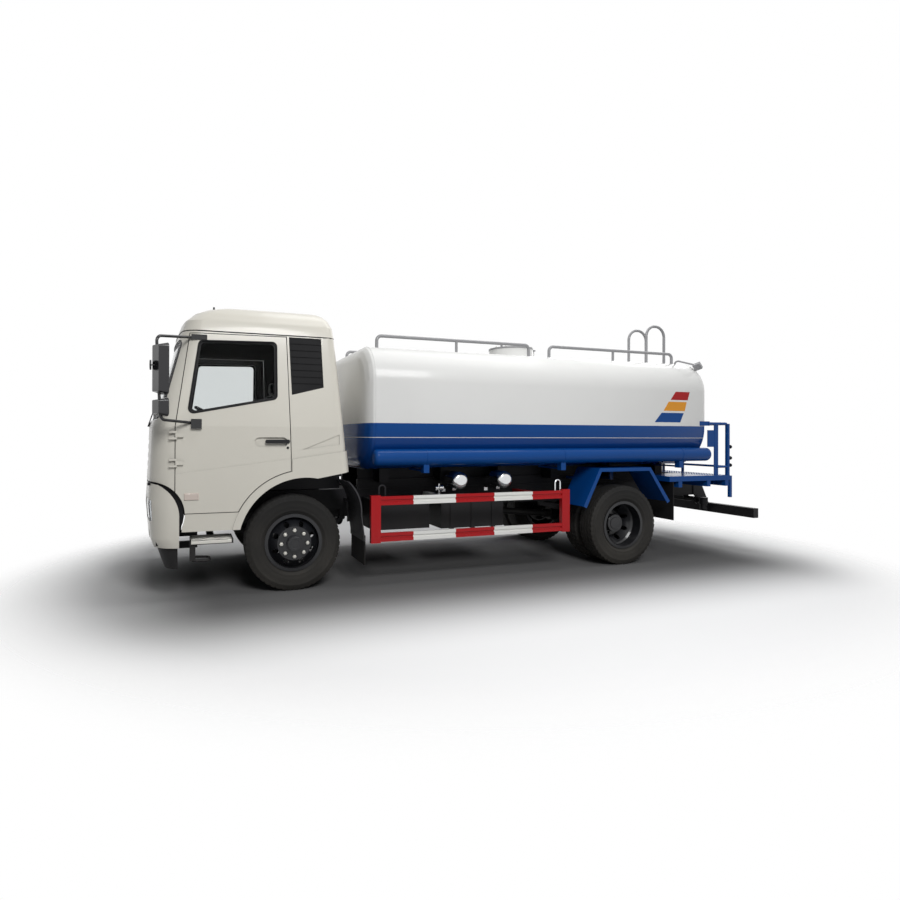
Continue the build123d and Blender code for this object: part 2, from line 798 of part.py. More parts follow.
def work_lamp():
    bracket = pipe([(-5380, 830, 2600), (-5380, 850, 2710), (-5560, 1045, 2625)], 12, 40)
    housing = Box(60, 96, 88) + Pos(-36, 0, 0) * Box(14, 80, 72)
    head = Pos(-5570, 1050, 2612) * (Rot(0, 40, 30) * housing)
    hull = along(tank_section(-SEAT_GAP), TANK_REAR - HEAD_BULGE, TANK_FRONT)
    return bracket + head - hull


save(rear_lamps(), "rear_lamps")
save(work_lamp(), "work_lamp")


# Boxes and vessels hung on the frame
def battery_box():
    box = block(-1620, -930, FRAME_HALF_WIDTH, 900, 560, 880)
    lid = block(-1630, -920, FRAME_HALF_WIDTH + 10, 910, 880, 905)
    locker = block(-2640, -1800, FRAME_HALF_WIDTH, 840, 530, 890)
    for x in (-2500, -2220, -1940):
        locker = locker + block(x - 25, x + 25, FRAME_HALF_WIDTH + 10, 850, 520, 900)
    return box + lid + locker


def reservoirs():
    vessels = None
    for x in (-2010, -2615):
        drum_body = disc(RESERVOIR_RADIUS, 640, 960, x=x, z=RESERVOIR_Z)
        drum_body = fillet(drum_body.edges().filter_by(GeomType.CIRCLE), RESERVOIR_RADIUS * 0.55)
        strap = block(x - 25, x + 25, FRAME_HALF_WIDTH, 760, RESERVOIR_Z - 130, RESERVOIR_Z - 60)
        foot = block(x - 25, x + 25, FRAME_HALF_WIDTH, FRAME_HALF_WIDTH + 12, 930, RESERVOIR_Z - 60)
        strap = strap + foot
        piece = drum_body + strap
        vessels = piece if vessels is None else vessels + piece
    return vessels


def fuel_tank():
    side = outline((-2700, 560), (-1250, 560), (-1250, 1000), (-2700, 1000), radius=90)
    body = across(side, -1080, -540)
    for x in (-2400, -1550):
        body = body + block(x - 35, x + 35, -545, -FRAME_HALF_WIDTH, 600, 960)
    return body


def exhaust():
    side = outline((-1120, 560), (-760, 560), (-760, 860), (-1120, 860), radius=60)
    box = across(side, -960, -480)
    hanger = block(-980, -900, -490, -FRAME_HALF_WIDTH, 780, 850)
    tail = pipe([(-940, -700, 570), (-940, -700, 430), (-940, -1120, 430)], 45, 70)
    return box + hanger + tail


save(battery_box(), "battery_box")
save(reservoirs(), "air_reservoirs")
save(fuel_tank(), "fuel_tank")
save(exhaust(), "exhaust")


# Water pipes: pump, suction from the tank, delivery to the rear and a coupling at the left rear
def pipes():
    pump_foot = block(PUMP_X - 120, PUMP_X + 120, 100, 340, PUMP_Z - 100, PUMP_Z + 120)
    pump_body = disc(170, 110, 330, x=PUMP_X, z=PUMP_Z) + pump_foot
    suction = rod((PUMP_X, 220, PUMP_Z), (PUMP_X, 220, TANK_BOTTOM), 50)
    delivery = rod((PUMP_X, 300, 805), (COUPLING_X, 300, 805), 40)
    rear_cross = rod((COUPLING_X, -700, COUPLING_Z), (COUPLING_X, COUPLING_Y + 30, COUPLING_Z), 38)
    drop = rod((COUPLING_X, 300, 805), (COUPLING_X, 300, 690), 40)
    valve = disc(62, 500, 530, x=COUPLING_X, z=COUPLING_Z)
    top, neck, mouth = [(COUPLING_X, COUPLING_Y, COUPLING_Z + rise) for rise in (40, -50, -130)]
    outlet = rod(top, neck, 62) + rod(neck, mouth, COUPLING_RADIUS)
    return pump_body + suction + delivery + rear_cross + drop + valve + outlet


save(pipes(), "water_pipes")


# Cab shell, drawn as a ring of wall between an outer and an inner loft
def cab_level(row, inset):
    z, front, corner, wide, back, front_r, back_r = row
    wide = wide - inset
    front = front - inset
    corner = corner - inset
    back = back + inset
    face = make_face(
        [
            Line((back, -wide), (back, wide)),
            Line((back, wide), (corner, wide)),
            ThreePointArc((corner, wide), (front, 0), (corner, -wide)),
            Line((corner, -wide), (back, -wide)),
        ]
    )
    face = fillet(face.vertices().sort_by(Axis.X)[2:], front_r - inset)
    face = fillet(face.vertices().sort_by(Axis.X)[:2], back_r - inset)
    return Pos(0, 0, z) * face


def cab_solid(inset, low=0, high=0):
    rows = list(CAB_LEVELS)
    rows[0] = (rows[0][0] - low,) + rows[0][1:]
    rows[-1] = (rows[-1][0] + high,) + rows[-1][1:]
    return loft([cab_level(row, inset) for row in rows], ruled=True)


def cab_core(inset):
    return cab_solid(inset, low=SPILL, high=SPILL)


cab_outer = cab_solid(0)
cab_inner = cab_core(CAB_WALL)
cab_wall = cab_outer - cab_inner

# Wheel arch, nose and rocker cuts
arch = across(Pos(ARCH_X, ARCH_Z) * Circle(ARCH_RADIUS), *FULL_WIDTH)
arch = arch + across(outline((-230, 300), (-230, 1187), (-720, 1275), (-720, 300)), *FULL_WIDTH)
nose = across(Pos(PIVOT_X, PIVOT_Z) * Circle(TILT_CAB_RADIUS), *FULL_WIDTH)
nose = nose + block(ROCKER_FRONT, 1700, *FULL_WIDTH, 400, PIVOT_Z)
rocker = block(-900, 1200, *FULL_WIDTH, 500, ROCKER_BOTTOM)
cab_wall = cab_wall - arch - nose - rocker

# Windscreen opening, in front view
SCREEN = outline((-1080, 1790), (1080, 1790), (1000, 2605), (-1000, 2605), radius=70)
screen_cut = along(SCREEN, 700, 1700)
SCREEN_PANE = offset(SCREEN, amount=-SEAT_GAP)
glass_skin = cab_solid(GLASS_INSET) - cab_core(GLASS_INSET + GLASS_THICKNESS)
windscreen = glass_skin & along(SCREEN_PANE, 900, 1700)

# Door outline in side view, its lower back edge following the wheel arch
door_arc_r = ARCH_RADIUS + ARCH_STRIP
door_arc_top = ARCH_Z + sqrt(door_arc_r**2 - (DOOR_BACK_X - ARCH_X) ** 2)
door_arc_end = ARCH_X + sqrt(door_arc_r**2 - (DOOR_BOTTOM - ARCH_Z) ** 2)
door_arc_mid = (ARCH_X + door_arc_r * cos(radians(52)), ARCH_Z + door_arc_r * sin(radians(52)))
DOOR = make_face(
    [
        Line((DOOR_FRONT_X, DOOR_BOTTOM), (DOOR_FRONT_X, 1730)),
        Line((DOOR_FRONT_X, 1730), (1040, 2660)),
        Line((1040, 2660), (90, 2672)),
        Line((90, 2672), (DOOR_BACK_X, 1450)),
        Line((DOOR_BACK_X, 1450), (DOOR_BACK_X, door_arc_top)),
        ThreePointArc((DOOR_BACK_X, door_arc_top), door_arc_mid, (door_arc_end, DOOR_BOTTOM)),
        Line((door_arc_end, DOOR_BOTTOM), (DOOR_FRONT_X, DOOR_BOTTOM)),
    ]
)
DOOR_HOLE = offset(DOOR, amount=DOOR_GAP, kind=Kind.INTERSECTION)
WINDOW = outline((1062, 1850), (190, 2020), (190, 2612), (955, 2590), radius=45)
WINDOW_PANE = offset(WINDOW, amount=-SEAT_GAP)
door_cut = across(DOOR_HOLE, *LEFT_SIDE)
window_cut = across(WINDOW, *LEFT_SIDE)

door = (cab_wall & across(DOOR, *LEFT_SIDE)) - window_cut
crease_skin = cab_solid(-CREASE_OUT) - cab_core(CAB_WALL / 8)
below_crease = outline((1300, 1246), (0, 1406), (0, 700), (1300, 700))
door = door + ((crease_skin & across(DOOR & below_crease, *LEFT_SIDE)) - arch - nose)
pocket = across(Pos(250, 1570) * SlotOverall(335, 100), *LEFT_SIDE)
door = door - (pocket - cab_solid(HANDLE_POCKET))
handle = across(Pos(185, 1578) * SlotOverall(250, 38), *LEFT_SIDE)
handle = (handle & (cab_solid(-16) - cab_core(HANDLE_POCKET / 2))) - door
door_glass = glass_skin & across(WINDOW_PANE, *LEFT_SIDE)
hinge_pins = None
for z in HINGE_LEVELS:
    barrel = Pos(HINGE_X, HINGE_Y, z) * Cylinder(HINGE_BARREL_RADIUS, HINGE_HALF)
    leaf = block(HINGE_X - 65, HINGE_X, HINGE_Y - 24, HINGE_Y + 8, z - HINGE_HALF / 2, z + HINGE_HALF / 2)
    eye = Pos(HINGE_X, HINGE_Y, z) * Cylinder(HINGE_PIN_RADIUS + RUNNING_GAP, 3 * HINGE_HALF)
    door = door + (barrel + leaf - eye)
    pin = Pos(HINGE_X, HINGE_Y, z) * Cylinder(HINGE_PIN_RADIUS, 2 * HINGE_HALF)
    for way in (-1, 1):
        arm_z = z + way * (HINGE_HALF / 2 + 11)
        arm = block(HINGE_X - 7, HINGE_X + 65, HINGE_Y - 12, HINGE_Y + 12, arm_z - 10, arm_z + 10)
        foot = block(HINGE_X + 20, HINGE_X + 65, HINGE_Y - 35, HINGE_Y + 12, arm_z - 10, arm_z + 10)
        pin = pin + arm + foot
    hinge_pins = pin if hinge_pins is None else hinge_pins + pin
save(windscreen, "windscreen")
save(door, "door_left")
save(right(door), "door_right")
save(handle, "door_handle_left")
save(right(handle), "door_handle_right")
save(door_glass, "door_glass_left")
save(right(door_glass), "door_glass_right")

# Wall panels split where they meet: front with pillars, sides, back
front_side = outline((1180, 400), (1180, 1731), (1047, 2668), (1040, 2720), (1800, 2720), (1800, 400))
front_zone = across(front_side, *FULL_WIDTH)
cab_front = (cab_wall & front_zone) - screen_cut
back_zone = block(-900, 0, -980, 980, 1200, 2800)
cab_back = cab_wall & back_zone
sides = cab_wall - front_zone - back_zone - block(-900, 1200, -980, 980, 500, 2800)
sides = sides - door_cut - right(door_cut)
flare_side = Pos(ARCH_X, ARCH_Z) * Circle(ARCH_RADIUS + ARCH_STRIP - DOOR_GAP - 2)
flare_side = flare_side + outline((36, 1393), (-640, 1488), (-640, 1150), (36, 1150))
flare_skin = cab_solid(-FLARE_OUT) - cab_core(CAB_WALL / 8)
flare = (flare_skin & across(flare_side, 1000, 1400)) - arch - nose - rocker
hollow = across(outline((-70, 1490), (-470, 1650), (-470, 1545)), 1000, 1400) - cab_solid(10)
sides = sides - twin(hollow) + twin(flare)

# Front panel, the outer skin below the windscreen
panel_hole = outline((-960, 1205), (960, 1205), (1000, 1715), (-1000, 1715), radius=40)
panel_face = outline((-957, 1208), (957, 1208), (997, 1712), (-997, 1712), radius=38)
panel_zone = along(panel_hole, *FRONT_REACH)
panel_skin = cab_outer - cab_core(PANEL_SKIN)
front_panel = panel_skin & along(panel_face, *FRONT_REACH)
cab_front = cab_front - (panel_skin & panel_zone)
for z in GRILLE_ROWS:
    slot_face = outline((-640, z), (640, z), (655, z + 50), (-655, z + 50), radius=18)
    slot = along(slot_face, *FRONT_REACH)
    front_panel = front_panel - slot
    cab_front = cab_front - (slot - cab_solid(2 * PANEL_SKIN))
cab_front = cab_front + twin(hinge_pins)
save(cab_front, "cab_front")
save(front_panel, "cab_front_panel")
save(cab_back, "cab_back_wall")

# Louvred panel behind the door
LOUVRE = outline((50, 2046), (-318, 2140), (-296, 2690), (76, 2690))
louvre_hole = offset(LOUVRE, amount=-LOUVRE_BORDER)
louvre_face = offset(LOUVRE, amount=-LOUVRE_BORDER - SEAT_GAP)
louvre_cut = (cab_outer - cab_core(LOUVRE_DEPTH)) & across(louvre_hole, *LEFT_SIDE)
louvre = (cab_solid(3) - cab_core(LOUVRE_DEPTH - SEAT_GAP)) & across(louvre_face, *LEFT_SIDE)
for index in range(LOUVRE_COUNT):
    z = 2176 + LOUVRE_PITCH * index
    louvre = louvre - (block(-500, 200, *LEFT_SIDE, z, z + 14) - cab_solid(10))
save(sides - louvre_cut - right(louvre_cut), "cab_side_panels")
save(twin(louvre), "side_louvres")


# Wipers: boss on the cowl, arm and a blade that follows the glass
def wiper(y):
    boss_face = Pos(y, WIPER_Z) * Circle(24)
    arm_face = outline((y - 10, WIPER_Z), (y + 12, WIPER_Z + 4), (y - 412, 1916), (y - 424, 1896))
    blade_face = outline((y - 740, 1850), (y - 736, 1832), (y - 116, 1946), (y - 120, 1964))
    boss = along(boss_face, 1100, 1700) & (cab_solid(-18) - cab_solid(-SEAT_GAP))
    arm = along(arm_face, 1100, 1700) & (cab_solid(-16) - cab_solid(-4))
    blade = along(blade_face, 1100, 1700) & (cab_solid(-8) - cab_solid(GLASS_INSET - 2 * SEAT_GAP))
    return boss + arm + blade


save(wiper(WIPER_PIVOTS[0]) + wiper(WIPER_PIVOTS[1]), "wipers")


# Floor with the engine tunnel and the tilt hinge lugs
FLOOR_UNDER = (
    (1500, 1180),
    (1330, 1175),
    (1085, FLOOR_LOW),
    (FLOOR_STEP_X, FLOOR_LOW),
    (FLOOR_STEP_X, FLOOR_HIGH),
    (-640, FLOOR_HIGH),
)
FLOOR_OVER = (
    (-640, FLOOR_HIGH + FLOOR_PLATE),
    (FLOOR_STEP_X + FLOOR_PLATE, FLOOR_HIGH + FLOOR_PLATE),
    (FLOOR_STEP_X + FLOOR_PLATE, FLOOR_LOW + FLOOR_PLATE),
    (1050, FLOOR_LOW + FLOOR_PLATE),
    (1280, 1240),
    (1500, 1265),
)
floor_body = across(outline(*FLOOR_UNDER, *FLOOR_OVER), -1200, 1200)
floor_below = across(outline(*FLOOR_UNDER, (-640, 400), (1500, 400)), -1200, 1200)
tunnel_core = block(-700, TUNNEL_FRONT, -TUNNEL_HALF, TUNNEL_HALF, 800, TUNNEL_TOP)
tunnel_skin = block(
    -640,
    TUNNEL_FRONT + FLOOR_PLATE,
    -TUNNEL_HALF - FLOOR_PLATE,
    TUNNEL_HALF + FLOOR_PLATE,
    880,
    TUNNEL_TOP + FLOOR_PLATE,
)
tunnel = tunnel_skin - tunnel_core - floor_below
cab_floor = (floor_body - tunnel_core + tunnel) & cab_core(CAB_WALL)
floor_rear = (tunnel + (floor_body - tunnel_core)) & block(-465, 1, -1080, 1080, 1100, 1450)
cab_floor = cab_floor - block(-900, 0, -980, 980, 1100, 1400) - tunnel_core + floor_rear
lug_side = outline(
    (1030, 935),
    (1085, 930),
    (1388, 838),
    (1418, 836),
    (1434, 850),
    (1434, 872),
    (1418, 884),
    (1085, 988),
    (1030, 988),
)
lug_outer = TUNNEL_HALF + LUG_THICKNESS
lug = across(lug_side, TUNNEL_HALF, lug_outer)
pin = disc(PIVOT_PIN_RADIUS, FRAME_HALF_WIDTH - 8, lug_outer, x=PIVOT_X, z=PIVOT_Z)
door_side = across(DOOR_HOLE, *LEFT_SIDE) - cab_core(CAB_WALL + DOOR_GAP)
cab_floor = cab_floor - nose - twin(door_side) + twin(lug + pin)
save(cab_floor, "cab_floor")


# Roof cap, its levels stepping round a quarter turn from the seam to the crown
def roof_level(angle, inset, drop):
    shrink = 1 - cos(radians(angle))
    z = ROOF_SEAM + ROOF_RISE * sin(radians(angle)) - drop
    front, corner, wide, back, front_r, back_r = CAB_LEVELS[-1][1:]
    row = (
        z,
        front - ROOF_FRONT_REACH * shrink,
        corner - ROOF_FRONT_REACH * shrink,
        wide - ROOF_SIDE_REACH * shrink,
        back + ROOF_BACK_REACH * shrink,
        front_r,
        back_r,
    )
    return cab_level(row, inset)


def roof_solid(inset, drop):
    return loft([roof_level(angle, inset, drop) for angle in ROOF_ANGLES], ruled=True)


roof = roof_solid(0, 0) - roof_solid(ROOF_SHELL, ROOF_SHELL)
roof = roof - block(-900, 1700, *FULL_WIDTH, ROOF_SEAM - 200, ROOF_SEAM)
save(roof, "cab_roof")


# Front bumper, a bowed hollow shell with lamp openings
def bumper_solid(inset, spill=0):
    faces = [cab_level(row, inset) for row in BUMPER_LEVELS]
    faces[0] = Pos(0, 0, -spill) * faces[0]
    faces[-1] = Pos(0, 0, spill) * faces[-1]
    return loft(faces, ruled=True)


HEAD_LAMP = outline((700, 815), (1090, 800), (1105, 1005), (770, 1040), radius=30)
FOG_LAMP = Pos(880, 650) * Circle(58)
bumper_side = make_face(
    [
        Line((1135, 500), (1135, 825)),
        ThreePointArc((1135, 825), (1195, 1040), (1330, 1158)),
        Line((1330, 1158), (1420, 1172)),
        Line((1420, 1172), (1700, 1150)),
        Line((1700, 1150), (1700, 500)),
        Line((1700, 500), (1135, 500)),
    ]
)
bumper_zone = across(bumper_side, *FULL_WIDTH)
bumper = (bumper_solid(0) - bumper_solid(BUMPER_WALL, spill=SPILL)) & bumper_zone
lamp_skin = bumper_solid(4) - bumper_solid(BUMPER_WALL - 4, spill=SPILL)
front_lamps = None
for face in (HEAD_LAMP, FOG_LAMP):
    hole = along(face, 1130, 1700)
    bumper = bumper - twin(hole)
    lens = twin(lamp_skin & along(offset(face, amount=-SEAT_GAP), 1130, 1700))
    front_lamps = lens if front_lamps is None else front_lamps + lens
intake = along(outline((-520, 640), (520, 640), (560, 780), (-560, 780), radius=30), 1300, 1700)
bumper = bumper - intake
save(bumper, "front_bumper")
save(front_lamps, "front_lamps")

# Front underrun beam with the bumper brackets
beam = loft([cab_level(row, 0) for row in BEAM_LEVELS], ruled=True)
core_low, core_high = [cab_level(row, BEAM_WALL) for row in BEAM_LEVELS]
beam_core = loft([Pos(0, 0, -SPILL) * core_low, Pos(0, 0, SPILL) * core_high], ruled=True)
beam = (beam - beam_core) & block(1150, 1600, *FULL_WIDTH, 200, 700)
brackets = block(FRAME_FRONT, 1600, 362, 422, 785, 845) & bumper_solid(BUMPER_WALL, spill=SPILL)
legs = block(960, 1040, 360, 428, 420, FRAME_BOTTOM)
legs = legs + (block(960, 1600, 360, 428, 400, 470) & beam_core)
save(beam + twin(brackets) + twin(legs), "front_beam")


# Cab steps with a hanging foot loop
def cab_step():
    tread = block(625, 1040, 830, 1160, 560, 600)
    hanger = block(800, 870, 362, 428, 560, FRAME_BOTTOM) + block(800, 870, 362, 840, 560, 600)
    outer_plate = block(985, 1040, 1100, 1140, 400, 590)
    inner_plate = block(985, 1040, 915, 945, 392, 590)
    loop = pipe([(1020, 1120, 400), (850, 1120, 392), (850, 930, 392), (1020, 930, 400)], 12, 40)
    return tread + hanger + outer_plate + inner_plate + loop


save(twin(cab_step()), "cab_steps")

# Dashboard with the steering column
wheel_at = Pos(WHEEL_X, WHEEL_Y, WHEEL_Z) * Rot(0, -WHEEL_TILT, 0)
dash_side = outline(
    (1500, 1400),
    (1500, 1760),
    (1200, 1800),
    (1020, 1760),
    (930, 1640),
    (960, 1450),
    (1120, 1400),
)
dash = across(dash_side, -1030, 1030)
binnacle = across(outline((1190, 1750), (1150, 1850), (985, 1880), (950, 1690)), 330, 790)
dash = (dash + binnacle) & cab_solid(CAB_WALL + SEAT_GAP)
column = wheel_at * (Pos(0, 0, -230) * Cylinder(38, 400))
save(dash + column, "dashboard")


# Steering wheel
def steering_wheel():
    wheel = Torus(WHEEL_RADIUS, 15) + Pos(0, 0, -12) * Cylinder(50, 34)
    for angle in (-90, 30, 150):
        tip = (WHEEL_RADIUS * cos(radians(angle)), WHEEL_RADIUS * sin(radians(angle)), 0)
        wheel = wheel + rod((0, 0, -12), tip, 12)
    return wheel_at * wheel


save(steering_wheel(), "steering_wheel")


# Seats and the bunk behind them
def seat(y0, y1):
    side = outline(
        (40, 1400),
        (520, 1420),
        (530, 1540),
        (200, 1550),
        (60, 2180),
        (-60, 2180),
        (-20, 1500),
        radius=18,
    )
    middle = (y0 + y1) / 2
    body = across(side, y0, y1)
    base = block(60, 440, y0 + 60, y1 - 60, FLOOR_HIGH + FLOOR_PLATE, 1430)
    head = block(-50, 40, middle - 130, middle + 130, 2170, 2340)
    return body + base + head


tunnel_outer = TUNNEL_HALF + FLOOR_PLATE
bunk = block(-440, -140, -900, 900, FLOOR_HIGH + FLOOR_PLATE, 1640)
bunk = bunk - block(-500, 0, -tunnel_outer, tunnel_outer, 1200, TUNNEL_TOP + FLOOR_PLATE)
save(seat(SEAT_INNER, SEAT_OUTER) + seat(-SEAT_OUTER, -SEAT_INNER) + bunk, "seats")


# Mirrors on a bent tube, carried by the door
def mirror_head(low, high):
    wide = MIRROR_HALF
    face = outline((-wide, low), (wide, low), (wide, high), (-wide, high), radius=36)
    back = offset(face, amount=-24)
    housing = loft([Plane.YZ.offset(-42) * face, Plane.YZ.offset(48) * back], ruled=True)
    housing = housing - along(offset(face, amount=-12), -43, -37)
    return Pos(MIRROR_X, MIRROR_Y, 0) * (Rot(0, 0, MIRROR_TURN) * housing)


def mirror_set():
    arm = pipe(
        [
            (1000, 1035, 2622),
            (1335, MIRROR_Y, 2565),
            (MIRROR_X, MIRROR_Y, 1785),
            (985, 1110, 1760),
        ],
        MIRROR_TUBE,
        60,
    )
    whole = arm
    for low, high in MIRROR_HEADS:
        whole = whole + mirror_head(low, high)
    round_stay = rod((MIRROR_X + 20, MIRROR_Y, 2290), (MIRROR_X + 90, MIRROR_Y, 2290), 6)
    round_face = rod((MIRROR_X + 78, MIRROR_Y, 2290), (MIRROR_X + 92, MIRROR_Y, 2290), 46)
    pads = block(880, 1030, 1000, 1085, 2598, 2648) + block(930, 1030, 1100, 1180, 1705, 1800)
    return (whole + round_stay + round_face + pads) - cab_solid(-SEAT_GAP, high=SPILL)


save(mirror_set(), "mirror_left")
save(right(mirror_set()), "mirror_right")
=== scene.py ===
"""Looks of a cab-over water tanker truck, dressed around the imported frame."""

import json
import logging
import math
from dataclasses import dataclass, field
from enum import Enum

import bmesh
import bpy
from mathutils import Matrix, Vector

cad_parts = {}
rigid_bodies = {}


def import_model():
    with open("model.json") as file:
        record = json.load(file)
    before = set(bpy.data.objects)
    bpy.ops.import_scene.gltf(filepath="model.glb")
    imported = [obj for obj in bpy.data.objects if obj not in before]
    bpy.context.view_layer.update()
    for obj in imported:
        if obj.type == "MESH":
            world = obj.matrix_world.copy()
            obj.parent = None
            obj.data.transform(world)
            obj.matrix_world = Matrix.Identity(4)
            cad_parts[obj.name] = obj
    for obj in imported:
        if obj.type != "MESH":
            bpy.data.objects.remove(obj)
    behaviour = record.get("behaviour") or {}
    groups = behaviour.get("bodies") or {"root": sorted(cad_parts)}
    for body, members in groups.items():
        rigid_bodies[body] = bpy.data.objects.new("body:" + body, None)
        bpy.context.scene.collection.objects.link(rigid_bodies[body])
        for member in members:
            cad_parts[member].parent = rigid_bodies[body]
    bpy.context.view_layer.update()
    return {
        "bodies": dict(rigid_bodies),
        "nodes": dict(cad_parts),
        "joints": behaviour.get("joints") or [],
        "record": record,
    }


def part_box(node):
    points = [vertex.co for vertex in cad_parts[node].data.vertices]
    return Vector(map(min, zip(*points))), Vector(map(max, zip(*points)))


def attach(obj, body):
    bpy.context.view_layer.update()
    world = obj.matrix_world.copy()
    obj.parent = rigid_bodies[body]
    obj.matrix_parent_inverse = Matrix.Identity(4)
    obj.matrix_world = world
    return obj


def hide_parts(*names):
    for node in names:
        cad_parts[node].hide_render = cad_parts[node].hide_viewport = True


LOG = logging.getLogger("tanker")

Colour = tuple[float, float, float]
Point = tuple[float, float, float]
Flat = tuple[float, float]
Span = tuple[float, float, float, float]
Face = tuple[int, ...]
Shape = tuple[Flat, ...]
Profile = Shape | list[Flat]
Inputs = dict[str | int, object]
Tree = bpy.types.NodeTree
Node = bpy.types.Node
Socket = bpy.types.NodeSocket
Material = bpy.types.Material
Piece = bpy.types.Object

SIDES: tuple[tuple[str, float], ...] = (("left", 1.0), ("right", -1.0))


class Kind(Enum):
    """How a finish is built up in its material."""

    PAINT = "paint"
    PLASTIC = "plastic"
    METAL = "metal"
    RUBBER = "rubber"
    CLOTH = "cloth"
    GLASS = "glass"
    LAMP = "lamp"


class Axis(Enum):
    """The line that a turned piece is spun about, as the order of its coordinates."""

    X = (1, 2, 0)
    Y = (0, 2, 1)
    Z = (0, 1, 2)


class Zone(Enum):
    """What a point of a tyre's section belongs to."""

    RIB = "rib"
    GROOVE = "groove"
    LUG = "lug"
    WALL = "wall"


@dataclass(frozen=True)
class Finish:
    """One finish of the truck.

    Args:
        name: material name.
        kind: how the material is built.
        colour: base colour, linear.
        roughness: mean roughness.
        coat: clear coat weight.
        specular: strength of the bare surface's gloss.
        mottle: share by which the colour wanders.
        grain: bump cells per metre.
        relief: bump height in metres.
        dust: share of road dust at the ground.
        inner: painted shade: a dark colour for the faces that look into the cab, where they differ.
    """

    name: str
    kind: Kind
    colour: Colour
    roughness: float
    coat: float = 0.0
    specular: float = 0.3
    mottle: float = 0.05
    grain: float = 40.0
    relief: float = 0.0004
    dust: float = 0.06
    inner: Colour | None = None


# The ivory paint's inner colour is painted shade: the faces that look into the cab are near black.
IVORY = Finish(
    "ivory_cab_paint", Kind.PAINT, (0.66, 0.635, 0.565), 0.3, coat=0.2, relief=0.0001,
    inner=(0.018, 0.018, 0.02),
)
CAB_INNER = Finish("cab_inner_grey", Kind.PLASTIC, (0.03, 0.03, 0.032), 0.75, grain=300, specular=0.1)
BLACK_PLASTIC = Finish(
    "grained_black_plastic", Kind.PLASTIC, (0.016, 0.016, 0.018), 0.5, grain=420, dust=0.1, specular=0.15
)
GUARD_PLASTIC = Finish(
    "grained_mudguard_plastic", Kind.PLASTIC, (0.03, 0.03, 0.034), 0.42, grain=360, dust=0.12, specular=0.3
)
MIRROR_SHELL = Finish(
    "gloss_mirror_shell", Kind.PLASTIC, (0.022, 0.022, 0.024), 0.18, specular=0.35, coat=0.2
)
GLOSS_BLACK = Finish("gloss_black_trim", Kind.PAINT, (0.008, 0.008, 0.009), 0.2, coat=0.4)
CHASSIS_BLACK = Finish(
    "satin_chassis_black", Kind.PAINT, (0.009, 0.009, 0.011), 0.45, dust=0.08, grain=90, specular=0.15
)
WHEEL_BLACK = Finish("satin_wheel_black", Kind.PAINT, (0.008, 0.009, 0.012), 0.3, coat=0.3, dust=0.05)
BLUE = Finish(
    "gloss_tank_blue", Kind.PAINT, (0.002, 0.056, 0.24), 0.22, coat=0.1, specular=0.12, relief=0.0001,
    dust=0.03,
)
SILVER = Finish("bright_vessel_metal", Kind.METAL, (0.66, 0.67, 0.68), 0.2, grain=160, dust=0.08)
STEEL = Finish("bare_bright_steel", Kind.METAL, (0.55, 0.54, 0.50), 0.28, grain=220, dust=0.08)
RAIL_GREY = Finish("grey_rail_paint", Kind.PAINT, (0.30, 0.30, 0.31), 0.35, coat=0.2)
IRON = Finish("cast_engine_grey", Kind.METAL, (0.05, 0.05, 0.05), 0.65, grain=120, relief=0.001)
TYRE = Finish(
    "tyre_rubber", Kind.RUBBER, (0.016, 0.016, 0.016), 0.62, grain=240, relief=0.0005, dust=0.16,
    specular=0.12,
)
FLAP = Finish("flap_rubber", Kind.RUBBER, (0.010, 0.010, 0.011), 0.6, grain=160, dust=0.08, specular=0.12)
SEAL = Finish("window_seal_rubber", Kind.RUBBER, (0.010, 0.010, 0.011), 0.5, grain=300, specular=0.15)
SEAT_CLOTH = Finish(
    "woven_seat_cloth", Kind.CLOTH, (0.03, 0.032, 0.036), 0.85, grain=700, relief=0.0006, specular=0.1
)
RED_LENS = Finish("red_lens", Kind.LAMP, (0.45, 0.008, 0.006), 0.12, coat=0.5)
AMBER_LENS = Finish("pale_amber_lens", Kind.LAMP, (0.62, 0.53, 0.47), 0.14, coat=0.5)
CLEAR_LENS = Finish("clear_lens", Kind.GLASS, (0.50, 0.52, 0.54), 0.03)
WINDOW = Finish("window_glass", Kind.GLASS, (0.79, 0.81, 0.81), 0.02)
MIRROR = Finish("mirror_face", Kind.METAL, (0.72, 0.75, 0.78), 0.05, relief=0.0, dust=0.02)
STRIPE_RED = Finish("stripe_red", Kind.PAINT, (0.37, 0.010, 0.012), 0.3, coat=0.1, specular=0.15)
STRIPE_ORANGE = Finish("stripe_orange", Kind.PAINT, (0.72, 0.30, 0.03), 0.3, coat=0.1, specular=0.15)
WHITE = (0.78, 0.78, 0.765)
GUARD_WHITE = (0.80, 0.80, 0.77)
# Painted shade: the tank's blue below the white line is darker, for the barrel's lower curve that faces the
# ground.
SHADED_LOW_BLUE = (0.003, 0.045, 0.21)
GUARD_RED = (0.40, 0.006, 0.010)
LENS_AMBER = (0.72, 0.24, 0.02)
LENS_WHITE = (0.75, 0.75, 0.75)
DUST_COLOUR = (0.22, 0.20, 0.17)
CAB_CENTRE = (2.85, 0.0, 1.9)


def wire(tree: Tree, node: Node, inputs: Inputs) -> None:
    """Links sockets to a node's inputs, or sets the inputs' plain values.

    Args:
        tree: the node's tree.
        node: the node.
        inputs: sockets, numbers, colours or vectors by the input's name or number.
    """
    for label, value in inputs.items():
        slot = node.inputs[label]
        if isinstance(value, Socket):
            tree.links.new(value, slot)
        else:
            slot.default_value = (*value, 1.0) if slot.type == "RGBA" else value


def add_node(tree: Tree, kind: str, inputs: Inputs | None = None, **settings: object) -> Node:
    """Adds one node to a tree.

    Args:
        tree: where it goes.
        kind: its type.
        inputs: what its inputs get.
        settings: its own properties, set before the inputs.

    Returns:
        The node.
    """
    node = tree.nodes.new(kind)
    for label, value in settings.items():
        setattr(node, label, value)
    wire(tree, node, inputs or {})
    return node


